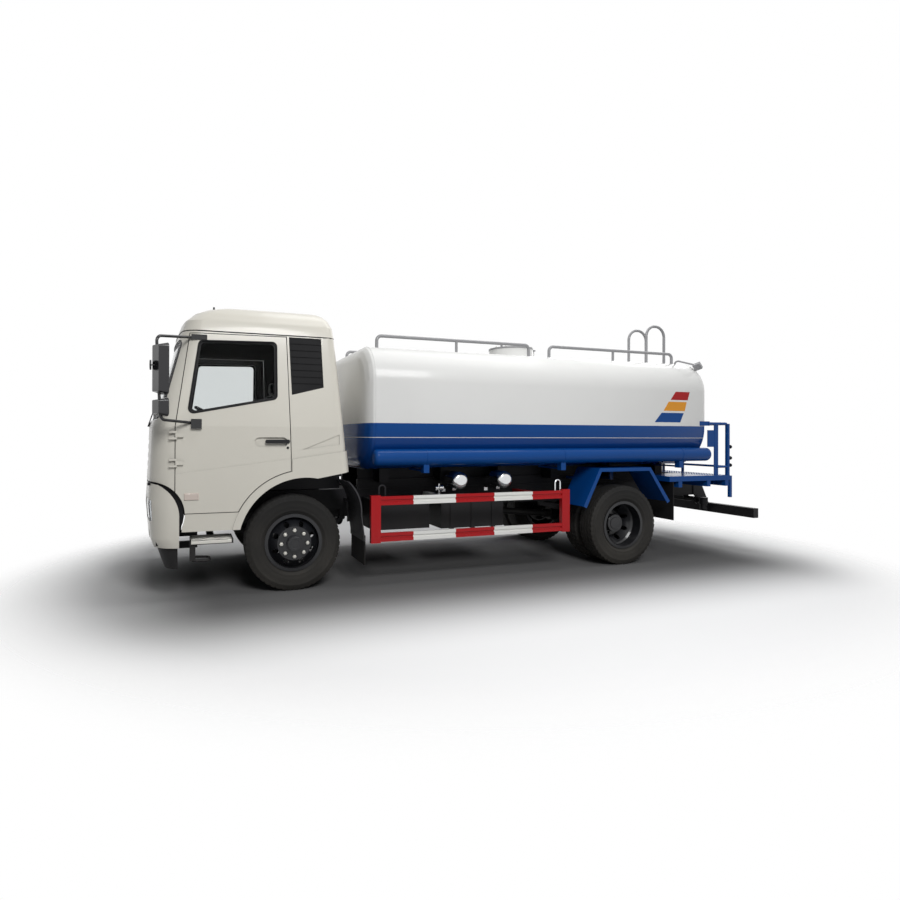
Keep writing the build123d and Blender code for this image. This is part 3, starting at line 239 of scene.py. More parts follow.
def mixed(tree: Tree, data_type: str, share: Socket, first: object, second: object) -> Socket:
    """Adds a mix of two values or colours.

    Args:
        tree: where it goes.
        data_type: FLOAT or RGBA.
        share: share of the second.
        first: the first value, colour or socket.
        second: the second one.

    Returns:
        The result's socket.
    """
    inputs = {"Factor": share, "A": first, "B": second}
    return add_node(tree, "ShaderNodeMix", inputs, data_type=data_type).outputs["Result"]


def placed(name: str, data: bpy.types.ID) -> Piece:
    """Makes an object of a mesh, curve, camera or light and links it to the scene.

    Args:
        name: object name.
        data: what it shows.

    Returns:
        The object.
    """
    piece = bpy.data.objects.new(name, data)
    bpy.context.scene.collection.objects.link(piece)
    return piece


def arc(centre: Flat, radius: float, turns: Flat, steps: int) -> list[Flat]:
    """Gives points on an arc of a flat outline.

    Args:
        centre: its centre.
        radius: its radius.
        turns: first and last angle in degrees.
        steps: number of steps between them.

    Returns:
        The points, with both ends.
    """
    first, last = turns
    angles = [math.radians(first + (last - first) * step / steps) for step in range(steps + 1)]
    return [(centre[0] + radius * math.cos(angle), centre[1] + radius * math.sin(angle)) for angle in angles]


def ring(centre: Flat, radius: float, count: int, start: float = 0.0) -> list[Flat]:
    """Gives points spread evenly round a full circle, the first at a start angle in degrees."""
    return arc(centre, radius, (start, start + 360.0), count)[:-1]


def oblong(low_across: float, high_across: float, low_up: float, high_up: float) -> list[Flat]:
    """Gives the four corners of a flat oblong in turn."""
    return [(low_across, low_up), (high_across, low_up), (high_across, high_up), (low_across, high_up)]


def wrapped(steps: int, count: int, closed: bool) -> list[Face]:
    """Gives the faces of a section carried round a line.

    Args:
        steps: sections round the line.
        count: points of a section.
        closed: whether the section closes on itself.

    Returns:
        The faces.
    """
    faces: list[Face] = []
    for step in range(steps):
        here, after = step * count, (step + 1) % steps * count
        for point in range(count if closed else count - 1):
            beside = (point + 1) % count
            faces.append((here + point, here + beside, after + beside, after + point))
    return faces


def rounded(corners: list[Flat], radius: float, steps: int = 5) -> list[Flat]:
    """Rounds a closed flat outline.

    Args:
        corners: its corners.
        radius: corner radius.
        steps: points per corner.

    Returns:
        The rounded outline.
    """
    route: list[Flat] = []
    for index, corner in enumerate(corners):
        here = Vector(corner)
        back = Vector(corners[index - 1]) - here
        ahead = Vector(corners[(index + 1) % len(corners)]) - here
        half = back.angle(ahead) / 2
        centre = here + (back.normalized() + ahead.normalized()).normalized() * (radius / math.sin(half))
        first = here + back.normalized() * (radius / math.tan(half)) - centre
        last = here + ahead.normalized() * (radius / math.tan(half)) - centre
        sweep = first.angle_signed(last)
        for step in range(steps + 1):
            turn = -sweep * step / steps
            across = first.x * math.cos(turn) - first.y * math.sin(turn)
            up = first.x * math.sin(turn) + first.y * math.cos(turn)
            route.append((centre.x + across, centre.y + up))
    return route


def filled(route: list[Flat], gap: float) -> list[Flat]:
    """Adds points to a closed outline's long runs.

    Args:
        route: the outline.
        gap: the longest run left.

    Returns:
        The outline with more points.
    """
    full: list[Flat] = []
    for index, here in enumerate(route):
        after = route[(index + 1) % len(route)]
        parts = max(1, math.ceil(math.dist(here, after) / gap))
        full += [tuple(a + (b - a) * part / parts for a, b in zip(here, after)) for part in range(parts)]
    return full


@dataclass
class ShaderGroups:
    """Shader node groups that several finishes share, each built once."""

    dust_scale: float = 3.0
    dust_detail: float = 6.0
    dust_gain: float = 1.6
    mottle_scale: float = 2.2
    mottle_detail: float = 7.0
    grain_detail: float = 3.0

    def __post_init__(self) -> None:
        """Builds every group."""
        self.dust = self._dust()
        self.mottle = self._mottle()
        self.grain = self._grain()
        self.weave = self._weave()
        self.inside = self._inner_shade()

    @staticmethod
    def _group(name: str, inputs: dict[str, str], outputs: dict[str, str]) -> Tree:
        """Makes an empty group.

        Args:
            name: group name.
            inputs: input names and the ends of their socket types.
            outputs: output names and the ends of their socket types.

        Returns:
            The node tree with its input and output nodes.
        """
        tree = bpy.data.node_groups.new(name, "ShaderNodeTree")
        for direction, sockets in (("INPUT", inputs), ("OUTPUT", outputs)):
            for label, kind in sockets.items():
                tree.interface.new_socket(label, in_out=direction, socket_type=f"NodeSocket{kind}")
        tree.nodes.new("NodeGroupInput").name = "in"
        tree.nodes.new("NodeGroupOutput").name = "out"
        return tree

    @staticmethod
    def _math(tree: Tree, kind: str, first: object, second: object, clamp: bool = False) -> Socket:
        """Adds one math node.

        Args:
            tree: where it goes.
            kind: its operation.
            first: a socket or number.
            second: another one.
            clamp: whether the result is held between 0 and 1.

        Returns:
            Its output socket.
        """
        inputs = {0: first, 1: second}
        return add_node(tree, "ShaderNodeMath", inputs, operation=kind, use_clamp=clamp).outputs[0]

    @staticmethod
    def _noise(tree: Tree, scale: object, detail: float) -> Socket:
        """Adds noise over the object's own coordinates.

        Args:
            tree: where it goes.
            scale: cells per metre, as a number or socket.
            detail: its octaves.

        Returns:
            The noise's value.
        """
        place = add_node(tree, "ShaderNodeTexCoord").outputs["Object"]
        inputs = {"Vector": place, "Scale": scale, "Detail": detail}
        return add_node(tree, "ShaderNodeTexNoise", inputs).outputs[0]

    def _dust(self) -> Tree:
        """Road dust: strongest at the ground, broken up by noise.

        Returns:
            The group.
        """
        tree = self._group("road_dust", {"Amount": "Float", "Reach": "Float"}, {"Mask": "Float"})
        given = tree.nodes["in"].outputs
        place = add_node(tree, "ShaderNodeTexCoord").outputs["Object"]
        height = add_node(tree, "ShaderNodeSeparateXYZ", {0: place}).outputs["Z"]
        share = self._math(tree, "DIVIDE", height, given["Reach"])
        low = self._math(tree, "SUBTRACT", 1.0, share, clamp=True)
        noise = self._noise(tree, self.dust_scale, self.dust_detail)
        patchy = self._math(tree, "MULTIPLY", noise, self.dust_gain)
        mask = self._math(tree, "MULTIPLY", low, patchy)
        mask = self._math(tree, "MULTIPLY", mask, given["Amount"], clamp=True)
        wire(tree, tree.nodes["out"], {"Mask": mask})
        return tree

    def _mottle(self) -> Tree:
        """A colour that wanders a little, with a value to vary the gloss.

        Returns:
            The group.
        """
        tree = self._group(
            "mottle", {"Colour": "Color", "Amount": "Float"}, {"Colour": "Color", "Value": "Float"}
        )
        given = tree.nodes["in"].outputs
        noise = self._noise(tree, self.mottle_scale, self.mottle_detail)
        swing = self._math(tree, "SUBTRACT", noise, 0.5)
        value = self._math(tree, "ADD", 1.0, self._math(tree, "MULTIPLY", swing, given["Amount"]))
        shade = add_node(tree, "ShaderNodeHueSaturation", {"Color": given["Colour"], "Value": value})
        wire(tree, tree.nodes["out"], {"Colour": shade.outputs[0], "Value": noise})
        return tree

    def _grain(self) -> Tree:
        """A fine bump height, as of moulded plastic, cast metal or sprayed paint.

        Returns:
            The group.
        """
        tree = self._group("grain", {"Scale": "Float"}, {"Height": "Float"})
        noise = self._noise(tree, tree.nodes["in"].outputs["Scale"], self.grain_detail)
        wire(tree, tree.nodes["out"], {"Height": noise})
        return tree

    def _weave(self) -> Tree:
        """A woven cloth height from crossed waves.

        Returns:
            The group.
        """
        tree = self._group("weave", {"Scale": "Float"}, {"Height": "Float"})
        place = add_node(tree, "ShaderNodeTexCoord").outputs["Object"]
        inputs = {"Vector": place, "Scale": tree.nodes["in"].outputs["Scale"]}
        waves = [
            add_node(tree, "ShaderNodeTexWave", inputs, bands_direction=direction).outputs["Fac"]
            for direction in ("X", "Y", "Z")
        ]
        total = waves[0]
        for wave in waves[1:]:
            total = self._math(tree, "ADD", total, wave)
        wire(tree, tree.nodes["out"], {"Height": self._math(tree, "DIVIDE", total, float(len(waves)))})
        return tree

    def _inner_shade(self) -> Tree:
        """Painted shade: a mask of the faces that look towards a given centre, as the inner faces of a shell
        do; these faces get a dark colour.

        Returns:
            The group.
        """
        tree = self._group("painted_inner_shade", {"Centre": "Vector"}, {"Mask": "Float"})
        place = add_node(tree, "ShaderNodeTexCoord").outputs
        ends = {0: place["Object"], 1: tree.nodes["in"].outputs["Centre"]}
        away = add_node(tree, "ShaderNodeVectorMath", ends, operation="SUBTRACT").outputs[0]
        ways = {0: away, 1: place["Normal"]}
        facing = add_node(tree, "ShaderNodeVectorMath", ways, operation="DOT_PRODUCT").outputs["Value"]
        wire(tree, tree.nodes["out"], {"Mask": self._math(tree, "LESS_THAN", facing, 0.0)})
        return tree


@dataclass
class Paintshop:
    """Builds materials from finishes and keeps them by name."""

    groups: ShaderGroups
    made: dict[str, Material] = field(default_factory=dict)
    dust_reach: float = 1.1
    gloss_range: Flat = (0.8, 1.25)
    dusty_roughness: float = 0.85
    bump_strength: float = 0.5
    coat_roughness: float = 0.08
    metal_specular: float = 0.5
    cloth_sheen: float = 0.3
    glass_mottle: float = 0.03
    glass_ior: float = 1.12

    def _blank(self, name: str) -> tuple[Tree, Node]:
        """Makes a material with one principled shader.

        Args:
            name: material name.

        Returns:
            The node tree and the shader.
        """
        material = bpy.data.materials.new(name)
        material.use_nodes = True
        self.made[name] = material
        return material.node_tree, material.node_tree.nodes["Principled BSDF"]

    @staticmethod
    def _use(tree: Tree, group: Tree, **values: object) -> bpy.types.bpy_prop_collection:
        """Places a group in a material, with values for its inputs, and gives its outputs."""
        return add_node(tree, "ShaderNodeGroup", values, node_tree=group).outputs

    def _coat_with(self, tree: Tree, shader: Node, finish: Finish, colour: object) -> None:
        """Dresses a shader with painted inner shade, mottle, dust and grain.

        Args:
            tree: the material's tree.
            shader: its principled shader.
            finish: the finish.
            colour: a colour or a colour socket.
        """
        # Painted shade: faces that look into the cab take the finish's dark inner colour.
        if finish.inner is not None:
            inside = self._use(tree, self.groups.inside, Centre=CAB_CENTRE)["Mask"]
            colour = mixed(tree, "RGBA", inside, finish.colour, finish.inner)
        mottle = self._use(tree, self.groups.mottle, Colour=colour, Amount=finish.mottle)
        dust = self._use(tree, self.groups.dust, Amount=finish.dust, Reach=self.dust_reach)["Mask"]
        least, most = (min(1.0, finish.roughness * share) for share in self.gloss_range)
        ends = {"Value": mottle["Value"], "To Min": least, "To Max": most}
        gloss = add_node(tree, "ShaderNodeMapRange", ends).outputs[0]
        pattern = self.groups.weave if finish.kind is Kind.CLOTH else self.groups.grain
        height = self._use(tree, pattern, Scale=finish.grain)["Height"]
        relief = {"Strength": self.bump_strength, "Distance": finish.relief, "Height": height}
        metal = finish.kind is Kind.METAL
        looks = {
            "Base Color": mixed(tree, "RGBA", dust, mottle["Colour"], DUST_COLOUR),
            "Roughness": mixed(tree, "FLOAT", dust, gloss, self.dusty_roughness),
            "Normal": add_node(tree, "ShaderNodeBump", relief).outputs["Normal"],
            "Metallic": 1.0 if metal else 0.0,
            "Coat Weight": finish.coat,
            "Specular IOR Level": self.metal_specular if metal else finish.specular,
            "Coat Roughness": self.coat_roughness,
        }
        if finish.kind is Kind.CLOTH:
            looks["Sheen Weight"] = self.cloth_sheen
        wire(tree, shader, looks)

    def of(self, finish: Finish) -> Material:
        """Gives the material of a finish, made on first use.

        Args:
            finish: the finish.

        Returns:
            Its material.
        """
        if finish.name not in self.made:
            tree, shader = self._blank(finish.name)
            if finish.kind is Kind.GLASS:
                self._glass(tree, shader, finish)
            else:
                self._coat_with(tree, shader, finish, finish.colour)
        return self.made[finish.name]

    def _glass(self, tree: Tree, shader: Node, finish: Finish) -> None:
        """Makes thin clear glass that lets light through.

        Args:
            tree: the material's tree.
            shader: its principled shader.
            finish: the finish.
        """
        mottle = self._use(tree, self.groups.mottle, Colour=finish.colour, Amount=self.glass_mottle)
        looks = {"Base Color": mottle["Colour"], "Roughness": finish.roughness, "IOR": self.glass_ior}
        wire(tree, shader, looks | {"Transmission Weight": 1.0})
        clear = add_node(tree, "ShaderNodeBsdfTransparent", {"Color": finish.colour})
        shadow = add_node(tree, "ShaderNodeLightPath").outputs["Is Shadow Ray"]
        ends = {"Fac": shadow, 1: shader.outputs[0], 2: clear.outputs[0]}
        surface = add_node(tree, "ShaderNodeMixShader", ends).outputs[0]
        wire(tree, tree.nodes["Material Output"], {"Surface": surface})

    def banded(
        self, name: str, axis: str, span: Flat, bands: list[tuple[float, Colour]], base: Finish
    ) -> Material:
        """A finish painted in bands along one axis.

        Args:
            name: material name.
            axis: X, Y or Z.
            span: where the first and last band edge may lie, in metres.
            bands: start of each band in metres and its colour, lowest first.
            base: the finish that gives gloss, dust and grain.

        Returns:
            The material.
        """
        if name in self.made:
            return self.made[name]
        tree, shader = self._blank(name)
        low, high = span
        place = add_node(tree, "ShaderNodeTexCoord").outputs["Object"]
        along = add_node(tree, "ShaderNodeSeparateXYZ", {0: place}).outputs[axis]
        share = add_node(tree, "ShaderNodeMapRange", {"Value": along, "From Min": low, "From Max": high})
        ramp = add_node(tree, "ShaderNodeValToRGB", {"Fac": share.outputs[0]})
        ramp.color_ramp.interpolation = "CONSTANT"
        stops = ramp.color_ramp.elements
        while len(stops) > 1:
            stops.remove(stops[-1])
        for index, (start, colour) in enumerate(bands):
            position = max(0.0, (start - low) / (high - low))
            stop = stops[0] if index == 0 else stops.new(position)
            stop.position = position
            stop.color = (*colour, 1.0)
        self._coat_with(tree, shader, base, ramp.outputs["Color"])
        return self.made[name]


@dataclass
class Bench:
    """Makes pieces, dresses them and puts them on their bodies.

    Args:
        paint: where their materials are made.
        frame: the loaded frame.
        axle_x: where the front axle lies in the frame, in metres.
    """

    paint: Paintshop
    frame: dict
    axle_x: float
    crease: float = 35.0
    weld: float = 1e-6
    tube_resolution: int = 3
    pad_cuts: int = 11
    stitch_half: float = 0.1
    stitch_pull: Flat = (0.05, 0.08)

    @staticmethod
    def _cover(data: bpy.types.ID, material: Material) -> None:
        """Gives a mesh or curve one material."""
        data.materials.clear()
        data.materials.append(material)

    def dress_node(self, node: str, material: Material) -> None:
        """Gives a frame node its material."""
        self._cover(self.frame["nodes"][node].data, material)

    def smooth_node(self, node: str, skin: Tree) -> None:
        """Shades a frame node's curved skin smooth with a modifier."""
        self.frame["nodes"][node].modifiers.new("smooth_skin", "NODES").node_group = skin

    def seat(self, piece: Piece, body: str, slot: str, material: Material) -> None:
        """Dresses a piece and lets it ride on a body.

        Args:
            piece: the object.
            body: the body that carries it.
            slot: the record's material slot; not used.
            material: its material.
        """
        self._cover(piece.data, material)
        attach(piece, body)
        LOG.info("%s rides on %s", piece.name, body)

    def mesh(self, name: str, points: list[Point], faces: list[Face], smooth: bool = False) -> Piece:
        """Makes a mesh object.

        Args:
            name: object name.
            points: its vertices in metres.
            faces: its faces.
            smooth: whether it is shaded smooth.

        Returns:
            The object, linked to the scene.
        """
        data = bpy.data.meshes.new(name)
        data.from_pydata(points, [], faces)
        form = bmesh.new()
        form.from_mesh(data)
        bmesh.ops.recalc_face_normals(form, faces=form.faces)
        form.to_mesh(data)
        form.free()
        for face in data.polygons:
            face.use_smooth = smooth
        return placed(name, data)

    def bar(self, name: str, low: Point, high: Point, round_by: float) -> Piece:
        """Makes a block with rounded edges.

        Args:
            name: object name.
            low: its lowest corner.
            high: its highest corner.
            round_by: edge radius in metres.

        Returns:
            The object.
        """
        xs, ys, zs = zip(low, high)
        points = [(x, y, z) for x in xs for y in ys for z in zs]
        faces = [(0, 1, 3, 2), (4, 6, 7, 5), (0, 4, 5, 1), (2, 3, 7, 6), (0, 2, 6, 4), (1, 5, 7, 3)]
        piece = self.mesh(name, points, faces)
        self.round_edges(piece, round_by)
        return piece

    @staticmethod
    def round_edges(piece: Piece, radius: float, segments: int = 3) -> None:
        """Adds a bevel to a piece's edges.

        Args:
            piece: the object.
            radius: bevel width in metres.
            segments: steps of the bevel.
        """
        bevel = piece.modifiers.new("round", "BEVEL")
        bevel.width = radius
        bevel.segments = segments
        bevel.limit_method = "ANGLE"
        for face in piece.data.polygons:
            face.use_smooth = True
        piece.modifiers.new("normals", "WEIGHTED_NORMAL").keep_sharp = True

    def slab(self, name: str, corners: list[Point], push: Point) -> Piece:
        """Makes a flat plate from its outline and a push that gives its thickness.

        Args:
            name: object name.
            corners: the outline.
            push: from one face to the other.

        Returns:
            The object.
        """
        count = len(corners)
        other = [tuple(place + by for place, by in zip(corner, push)) for corner in corners]
        faces: list[Face] = [tuple(range(count)), tuple(range(2 * count - 1, count - 1, -1))]
        for here in range(count):
            after = (here + 1) % count
            faces.append((here, after, count + after, count + here))
        return self.mesh(name, corners + other, faces)

    def tube(self, name: str, route: list[Point], radius: float, closed: bool = False) -> Piece:
        """Makes a round tube along a route.

        Args:
            name: object name.
            route: points that it follows.
            radius: its radius.
            closed: whether it closes on itself.

        Returns:
            The curve object.
        """
        data = bpy.data.curves.new(name, "CURVE")
        data.dimensions = "3D"
        data.bevel_depth = radius
        data.bevel_resolution = self.tube_resolution
        data.use_fill_caps = True
        line = data.splines.new("POLY")
        line.points.add(len(route) - 1)
        for point, place in zip(line.points, route):
            point.co = (*place, 1.0)
        line.use_cyclic_u = closed
        return placed(name, data)

    def spun(
        self, name: str, profile: Profile, centre: Point, axis: Axis = Axis.Y, steps: int = 40
    ) -> Piece:
        """Spins a profile about a line.

        Args:
            name: object name.
            profile: radius and distance along the line, both in metres.
            centre: where the line's zero lies.
            axis: the line's direction.
            steps: steps round.

        Returns:
            The object.
        """
        points: list[Point] = []
        for across, up in ring((0.0, 0.0), 1.0, steps):
            for radius, reach in profile:
                local = (radius * across, radius * up, reach)
                points.append(tuple(centre[index] + local[axis.value.index(index)] for index in range(3)))
        piece = self.mesh(name, points, wrapped(steps, len(profile), closed=False), smooth=True)
        form = bmesh.new()
        form.from_mesh(piece.data)
        bmesh.ops.remove_doubles(form, verts=form.verts, dist=self.weld)
        bmesh.ops.holes_fill(form, edges=form.edges, sides=0)
        bmesh.ops.recalc_face_normals(form, faces=form.faces)
        form.to_mesh(piece.data)
        form.free()
        piece.data.set_sharp_from_angle(angle=math.radians(self.crease))
        return piece

    def joined(self, name: str, pieces: list[Piece]) -> Piece:
        """Joins like pieces into one object.

        Args:
            name: object name.
            pieces: mesh objects without modifiers, which go.

        Returns:
            The joined object.
        """
        form = bmesh.new()
        for piece in pieces:
            form.from_mesh(piece.data)
            bpy.data.objects.remove(piece)
        data = bpy.data.meshes.new(name)
        form.to_mesh(data)
        form.free()
        return placed(name, data)

    def cast(self, node: str, start: Point, way: Point) -> Vector:
        """Finds where a line meets a frame node.

        Args:
            node: node name.
            start: where the line starts.
            way: its direction.

        Returns:
            The point on the node.

        Raises:
            ValueError: if the line misses the node.
        """
        hit, place, _, _ = self.frame["nodes"][node].ray_cast(Vector(start), Vector(way))
        if not hit:
            raise ValueError(f"no face of {node} under {start}")
        return place

    def draped(
        self, name: str, node: str, rows: list[list[Point]], way: Point, lift: float, sink: float,
        closed: bool = False,
    ) -> Piece:
        """Lays a thin plate on a frame node.

        Args:
            name: object name.
            node: the node that it lies on.
            rows: rows of points off the surface, all of one length.
            way: direction towards the surface.
            lift: how far the plate stands proud, in metres.
            sink: how far it goes into the surface.
            closed: whether the last row joins the first.

        Returns:
            The object.
        """
        back = Vector(way).normalized()
        found = [self.cast(node, start, way) for row in rows for start in row]
        tops = [tuple(place - back * lift) for place in found]
        unders = [tuple(place + back * sink) for place in found]
        wide, base = len(rows[0]), len(tops)
        faces: list[Face] = []
        for row in range(len(rows) if closed else len(rows) - 1):
            here, after = row * wide, (row + 1) % len(rows) * wide
            for column in range(wide - 1):
                quad = (here + column, here + column + 1, after + column + 1, after + column)
                faces += [quad, tuple(base + corner for corner in reversed(quad))]
            for column in (0, wide - 1):
                faces.append((here + column, after + column, base + after + column, base + here + column))
        if not closed:
            for row in (0, len(rows) - 1):
                for here in range(row * wide, row * wide + wide - 1):
                    faces.append((here, here + 1, base + here + 1, base + here))
        return self.mesh(name, tops + unders, faces)

    def cushion(self, name: str, low: Point, high: Point, crown: float, channels: int) -> Piece:
        """Makes a stuffed pad: crowned faces, pulled-in sides and sewn channels across its width.

        Args:
            name: object name.
            low: lowest corner of its box.
            high: highest corner.
            crown: share by which edges fall away from the middle of a face.
            channels: number of sewn channels.

        Returns:
            The object.
        """
        form = bmesh.new()
        bmesh.ops.create_cube(form, size=2.0)
        bmesh.ops.subdivide_edges(form, edges=form.edges, cuts=self.pad_cuts, use_grid_fill=True)
        middle = [(a + b) / 2 for a, b in zip(low, high)]
        half = [(b - a) / 2 for a, b in zip(low, high)]
        for vert in form.verts:
            start = vert.co.copy()
            squares = [share * share for share in start]
            for index in range(3):
                others = squares[(index + 1) % 3] + squares[(index + 2) % 3]
                vert.co[index] = start[index] * (1 - crown * others / 2)
            for channel in range(1, channels + 1):
                gap = abs(start.y - (2 * channel / (channels + 1) - 1))
                nearness = max(0.0, 1 - gap / self.stitch_half)
                vert.co.x *= 1 - self.stitch_pull[0] * nearness
                vert.co.z *= 1 - self.stitch_pull[1] * nearness
            vert.co = Vector([m + h * share for m, h, share in zip(middle, half, vert.co)])
        data = bpy.data.meshes.new(name)
        form.to_mesh(data)
        form.free()
        for face in data.polygons:
            face.use_smooth = True
        piece = placed(name, data)
        piece.modifiers.new("stuffed", "SUBSURF").render_levels = 1
        return piece


def smooth_skin_group(weld: float, crease: float) -> Tree:
    """Builds the modifier that shades a faceted skin smooth and keeps its real creases.

    Args:
        weld: distance below which corners are one.
        crease: angle in radians from which an edge stays sharp.

    Returns:
        The node group.
    """
    tree = bpy.data.node_groups.new("smooth_skin", "GeometryNodeTree")
    for direction in ("INPUT", "OUTPUT"):
        tree.interface.new_socket("Geometry", in_out=direction, socket_type="NodeSocketGeometry")
    angle = add_node(tree, "GeometryNodeInputMeshEdgeAngle").outputs["Unsigned Angle"]
    soft = add_node(tree, "FunctionNodeCompare", {"A": angle, "B": crease}, operation="LESS_THAN")
    chain = [
        add_node(tree, "NodeGroupInput"),
        add_node(tree, "GeometryNodeMergeByDistance", {"Distance": weld}),
        add_node(tree, "GeometryNodeRemoveAttribute", {"Name": "custom_normal"}),
        add_node(tree, "GeometryNodeSetShadeSmooth"),
        add_node(tree, "GeometryNodeSetShadeSmooth", {"Shade Smooth": soft.outputs[0]}, domain="EDGE"),
        add_node(tree, "NodeGroupOutput"),
    ]
    for node, after in zip(chain, chain[1:]):
        wire(tree, after, {0: node.outputs[0]})
    return tree


@dataclass
class Kit:
    """A sub-assembly whose pieces are made on one bench."""

    bench: Bench

    def at(self, x: float, y: float, z: float) -> Point:
        """Turns a place measured from the front axle into one in the frame."""
        return (self.bench.axle_x + x, y, z)

    def seat(self, piece: Piece, body: str, slot: str, finish: Finish) -> None:
        """Dresses a piece with a finish and lets it ride on a body."""
        self.bench.seat(piece, body, slot, self.bench.paint.of(finish))


@dataclass
class Tyres(Kit):
    """Radial truck tyres with ribs, zigzag grooves and shoulder notches."""

    radius: float = 0.506
    crown_drop: float = 0.004
    bead: float = 0.2905
    half_width: float = 0.1378
    pair_half: float = 0.1384
    tread_half: float = 0.111
    groove_depth: float = 0.012
    groove_edges: tuple[float, ...] = (0.019, 0.031, 0.064, 0.076)
    groove_wall: float = 0.002
    shoulder_edge: float = 0.090
    zigzag: float = 0.003
    steps: int = 192
    notch_every: int = 4
    lug_notch: float = 0.009
    rib_notch: float = 0.004
    notched_from: float = 0.070
    crease: float = 38.0

    def _profile(self) -> list[tuple[float, float, Zone]]:
        """Gives half of the section from the middle of the tread to the bead.

        Returns:
            Radius, distance from the middle and zone of each point.
        """
        crown = [(0.0, Zone.RIB)]
        for inner, outer in zip(self.groove_edges[::2], self.groove_edges[1::2]):
            crown += [(inner, Zone.RIB), (inner + self.groove_wall, Zone.GROOVE)]
            crown += [(outer - self.groove_wall, Zone.GROOVE), (outer, Zone.RIB)]
        crown += [(self.shoulder_edge, Zone.RIB), (self.shoulder_edge + self.groove_wall, Zone.LUG)]
        crown.append((self.tread_half, Zone.LUG))
        shoulder = [(0.490, 0.1185), (0.474, 0.1235)]
        wall = [
            (0.470, 0.1262), (0.452, 0.1312), (0.449, 0.1332), (0.442, 0.1335), (0.439, 0.1322),
            (0.400, self.half_width), (0.366, 0.1330), (0.350, 0.1290), (0.346, 0.1300), (0.338, 0.1275),
            (0.325, 0.1190), (0.312, 0.1070), (self.bead, 0.1050),
        ]
        rows = [(self.radius - self.crown_drop * (y / self.tread_half) ** 2, y, zone) for y, zone in crown]
        rows += [(radius, y, Zone.LUG) for radius, y in shoulder]
        return rows + [(radius, y, Zone.WALL) for radius, y in wall]

    def _cut(self, y: float, zone: Zone, notched: bool) -> float:
        """Gives how far a point of the tread is cut in.

        Args:
            y: its distance from the middle.
            zone: its zone.
            notched: whether a notch runs through it.

        Returns:
            The depth in metres.
        """
        if zone is Zone.GROOVE:
            return self.groove_depth
        if notched and zone is Zone.LUG:
            return self.lug_notch
        if notched and zone is Zone.RIB and abs(y) > self.notched_from:
            return self.rib_notch
        return 0.0

    def build(self, name: str, centre: Point) -> Piece:
        """Builds one tyre about a line along Y.

        Args:
            name: object name.
            centre: its centre.

        Returns:
            The object.
        """
        half = self._profile()
        section = [(radius, -y, zone) for radius, y, zone in reversed(half[1:])] + half
        points: list[Point] = []
        for step, (along, up) in enumerate(ring((0.0, 0.0), 1.0, self.steps)):
            sway = self.zigzag if step // 2 % 2 else -self.zigzag
            notched = step % self.notch_every == 0
            for radius, y, zone in section:
                reach = radius - self._cut(y, zone, notched)
                shift = sway if zone is Zone.GROOVE or abs(y) in self.groove_edges else 0.0
                points.append((centre[0] + reach * along, centre[1] + y + shift, centre[2] + reach * up))
        piece = self.bench.mesh(name, points, wrapped(self.steps, len(section), closed=True), smooth=True)
        piece.data.set_sharp_from_angle(angle=math.radians(self.crease))
        return piece

    def fit(self) -> None:
        """Puts tyres in place of the frame's plain ones."""
        for side, way in SIDES:
            low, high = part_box(f"front_tyre_{side}")
            piece = self.build(f"front_tyre_tread_{side}", tuple((low + high) / 2))
            self.seat(piece, f"front_wheel_{side}", "tyre_rubber", TYRE)
            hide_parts(f"front_tyre_{side}")
            low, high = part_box(f"rear_tyres_{side}")
            middle = (low + high) / 2
            reach = (high[1] - low[1]) / 2 - self.pair_half
            for label, turn in (("inner", -way), ("outer", way)):
                place = (middle[0], middle[1] + turn * reach, middle[2])
                piece = self.build(f"rear_tyre_{label}_{side}", place)
                self.seat(piece, f"rear_wheels_{side}", "tyre_rubber", TYRE)
                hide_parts(f"rear_tyres_{side}")


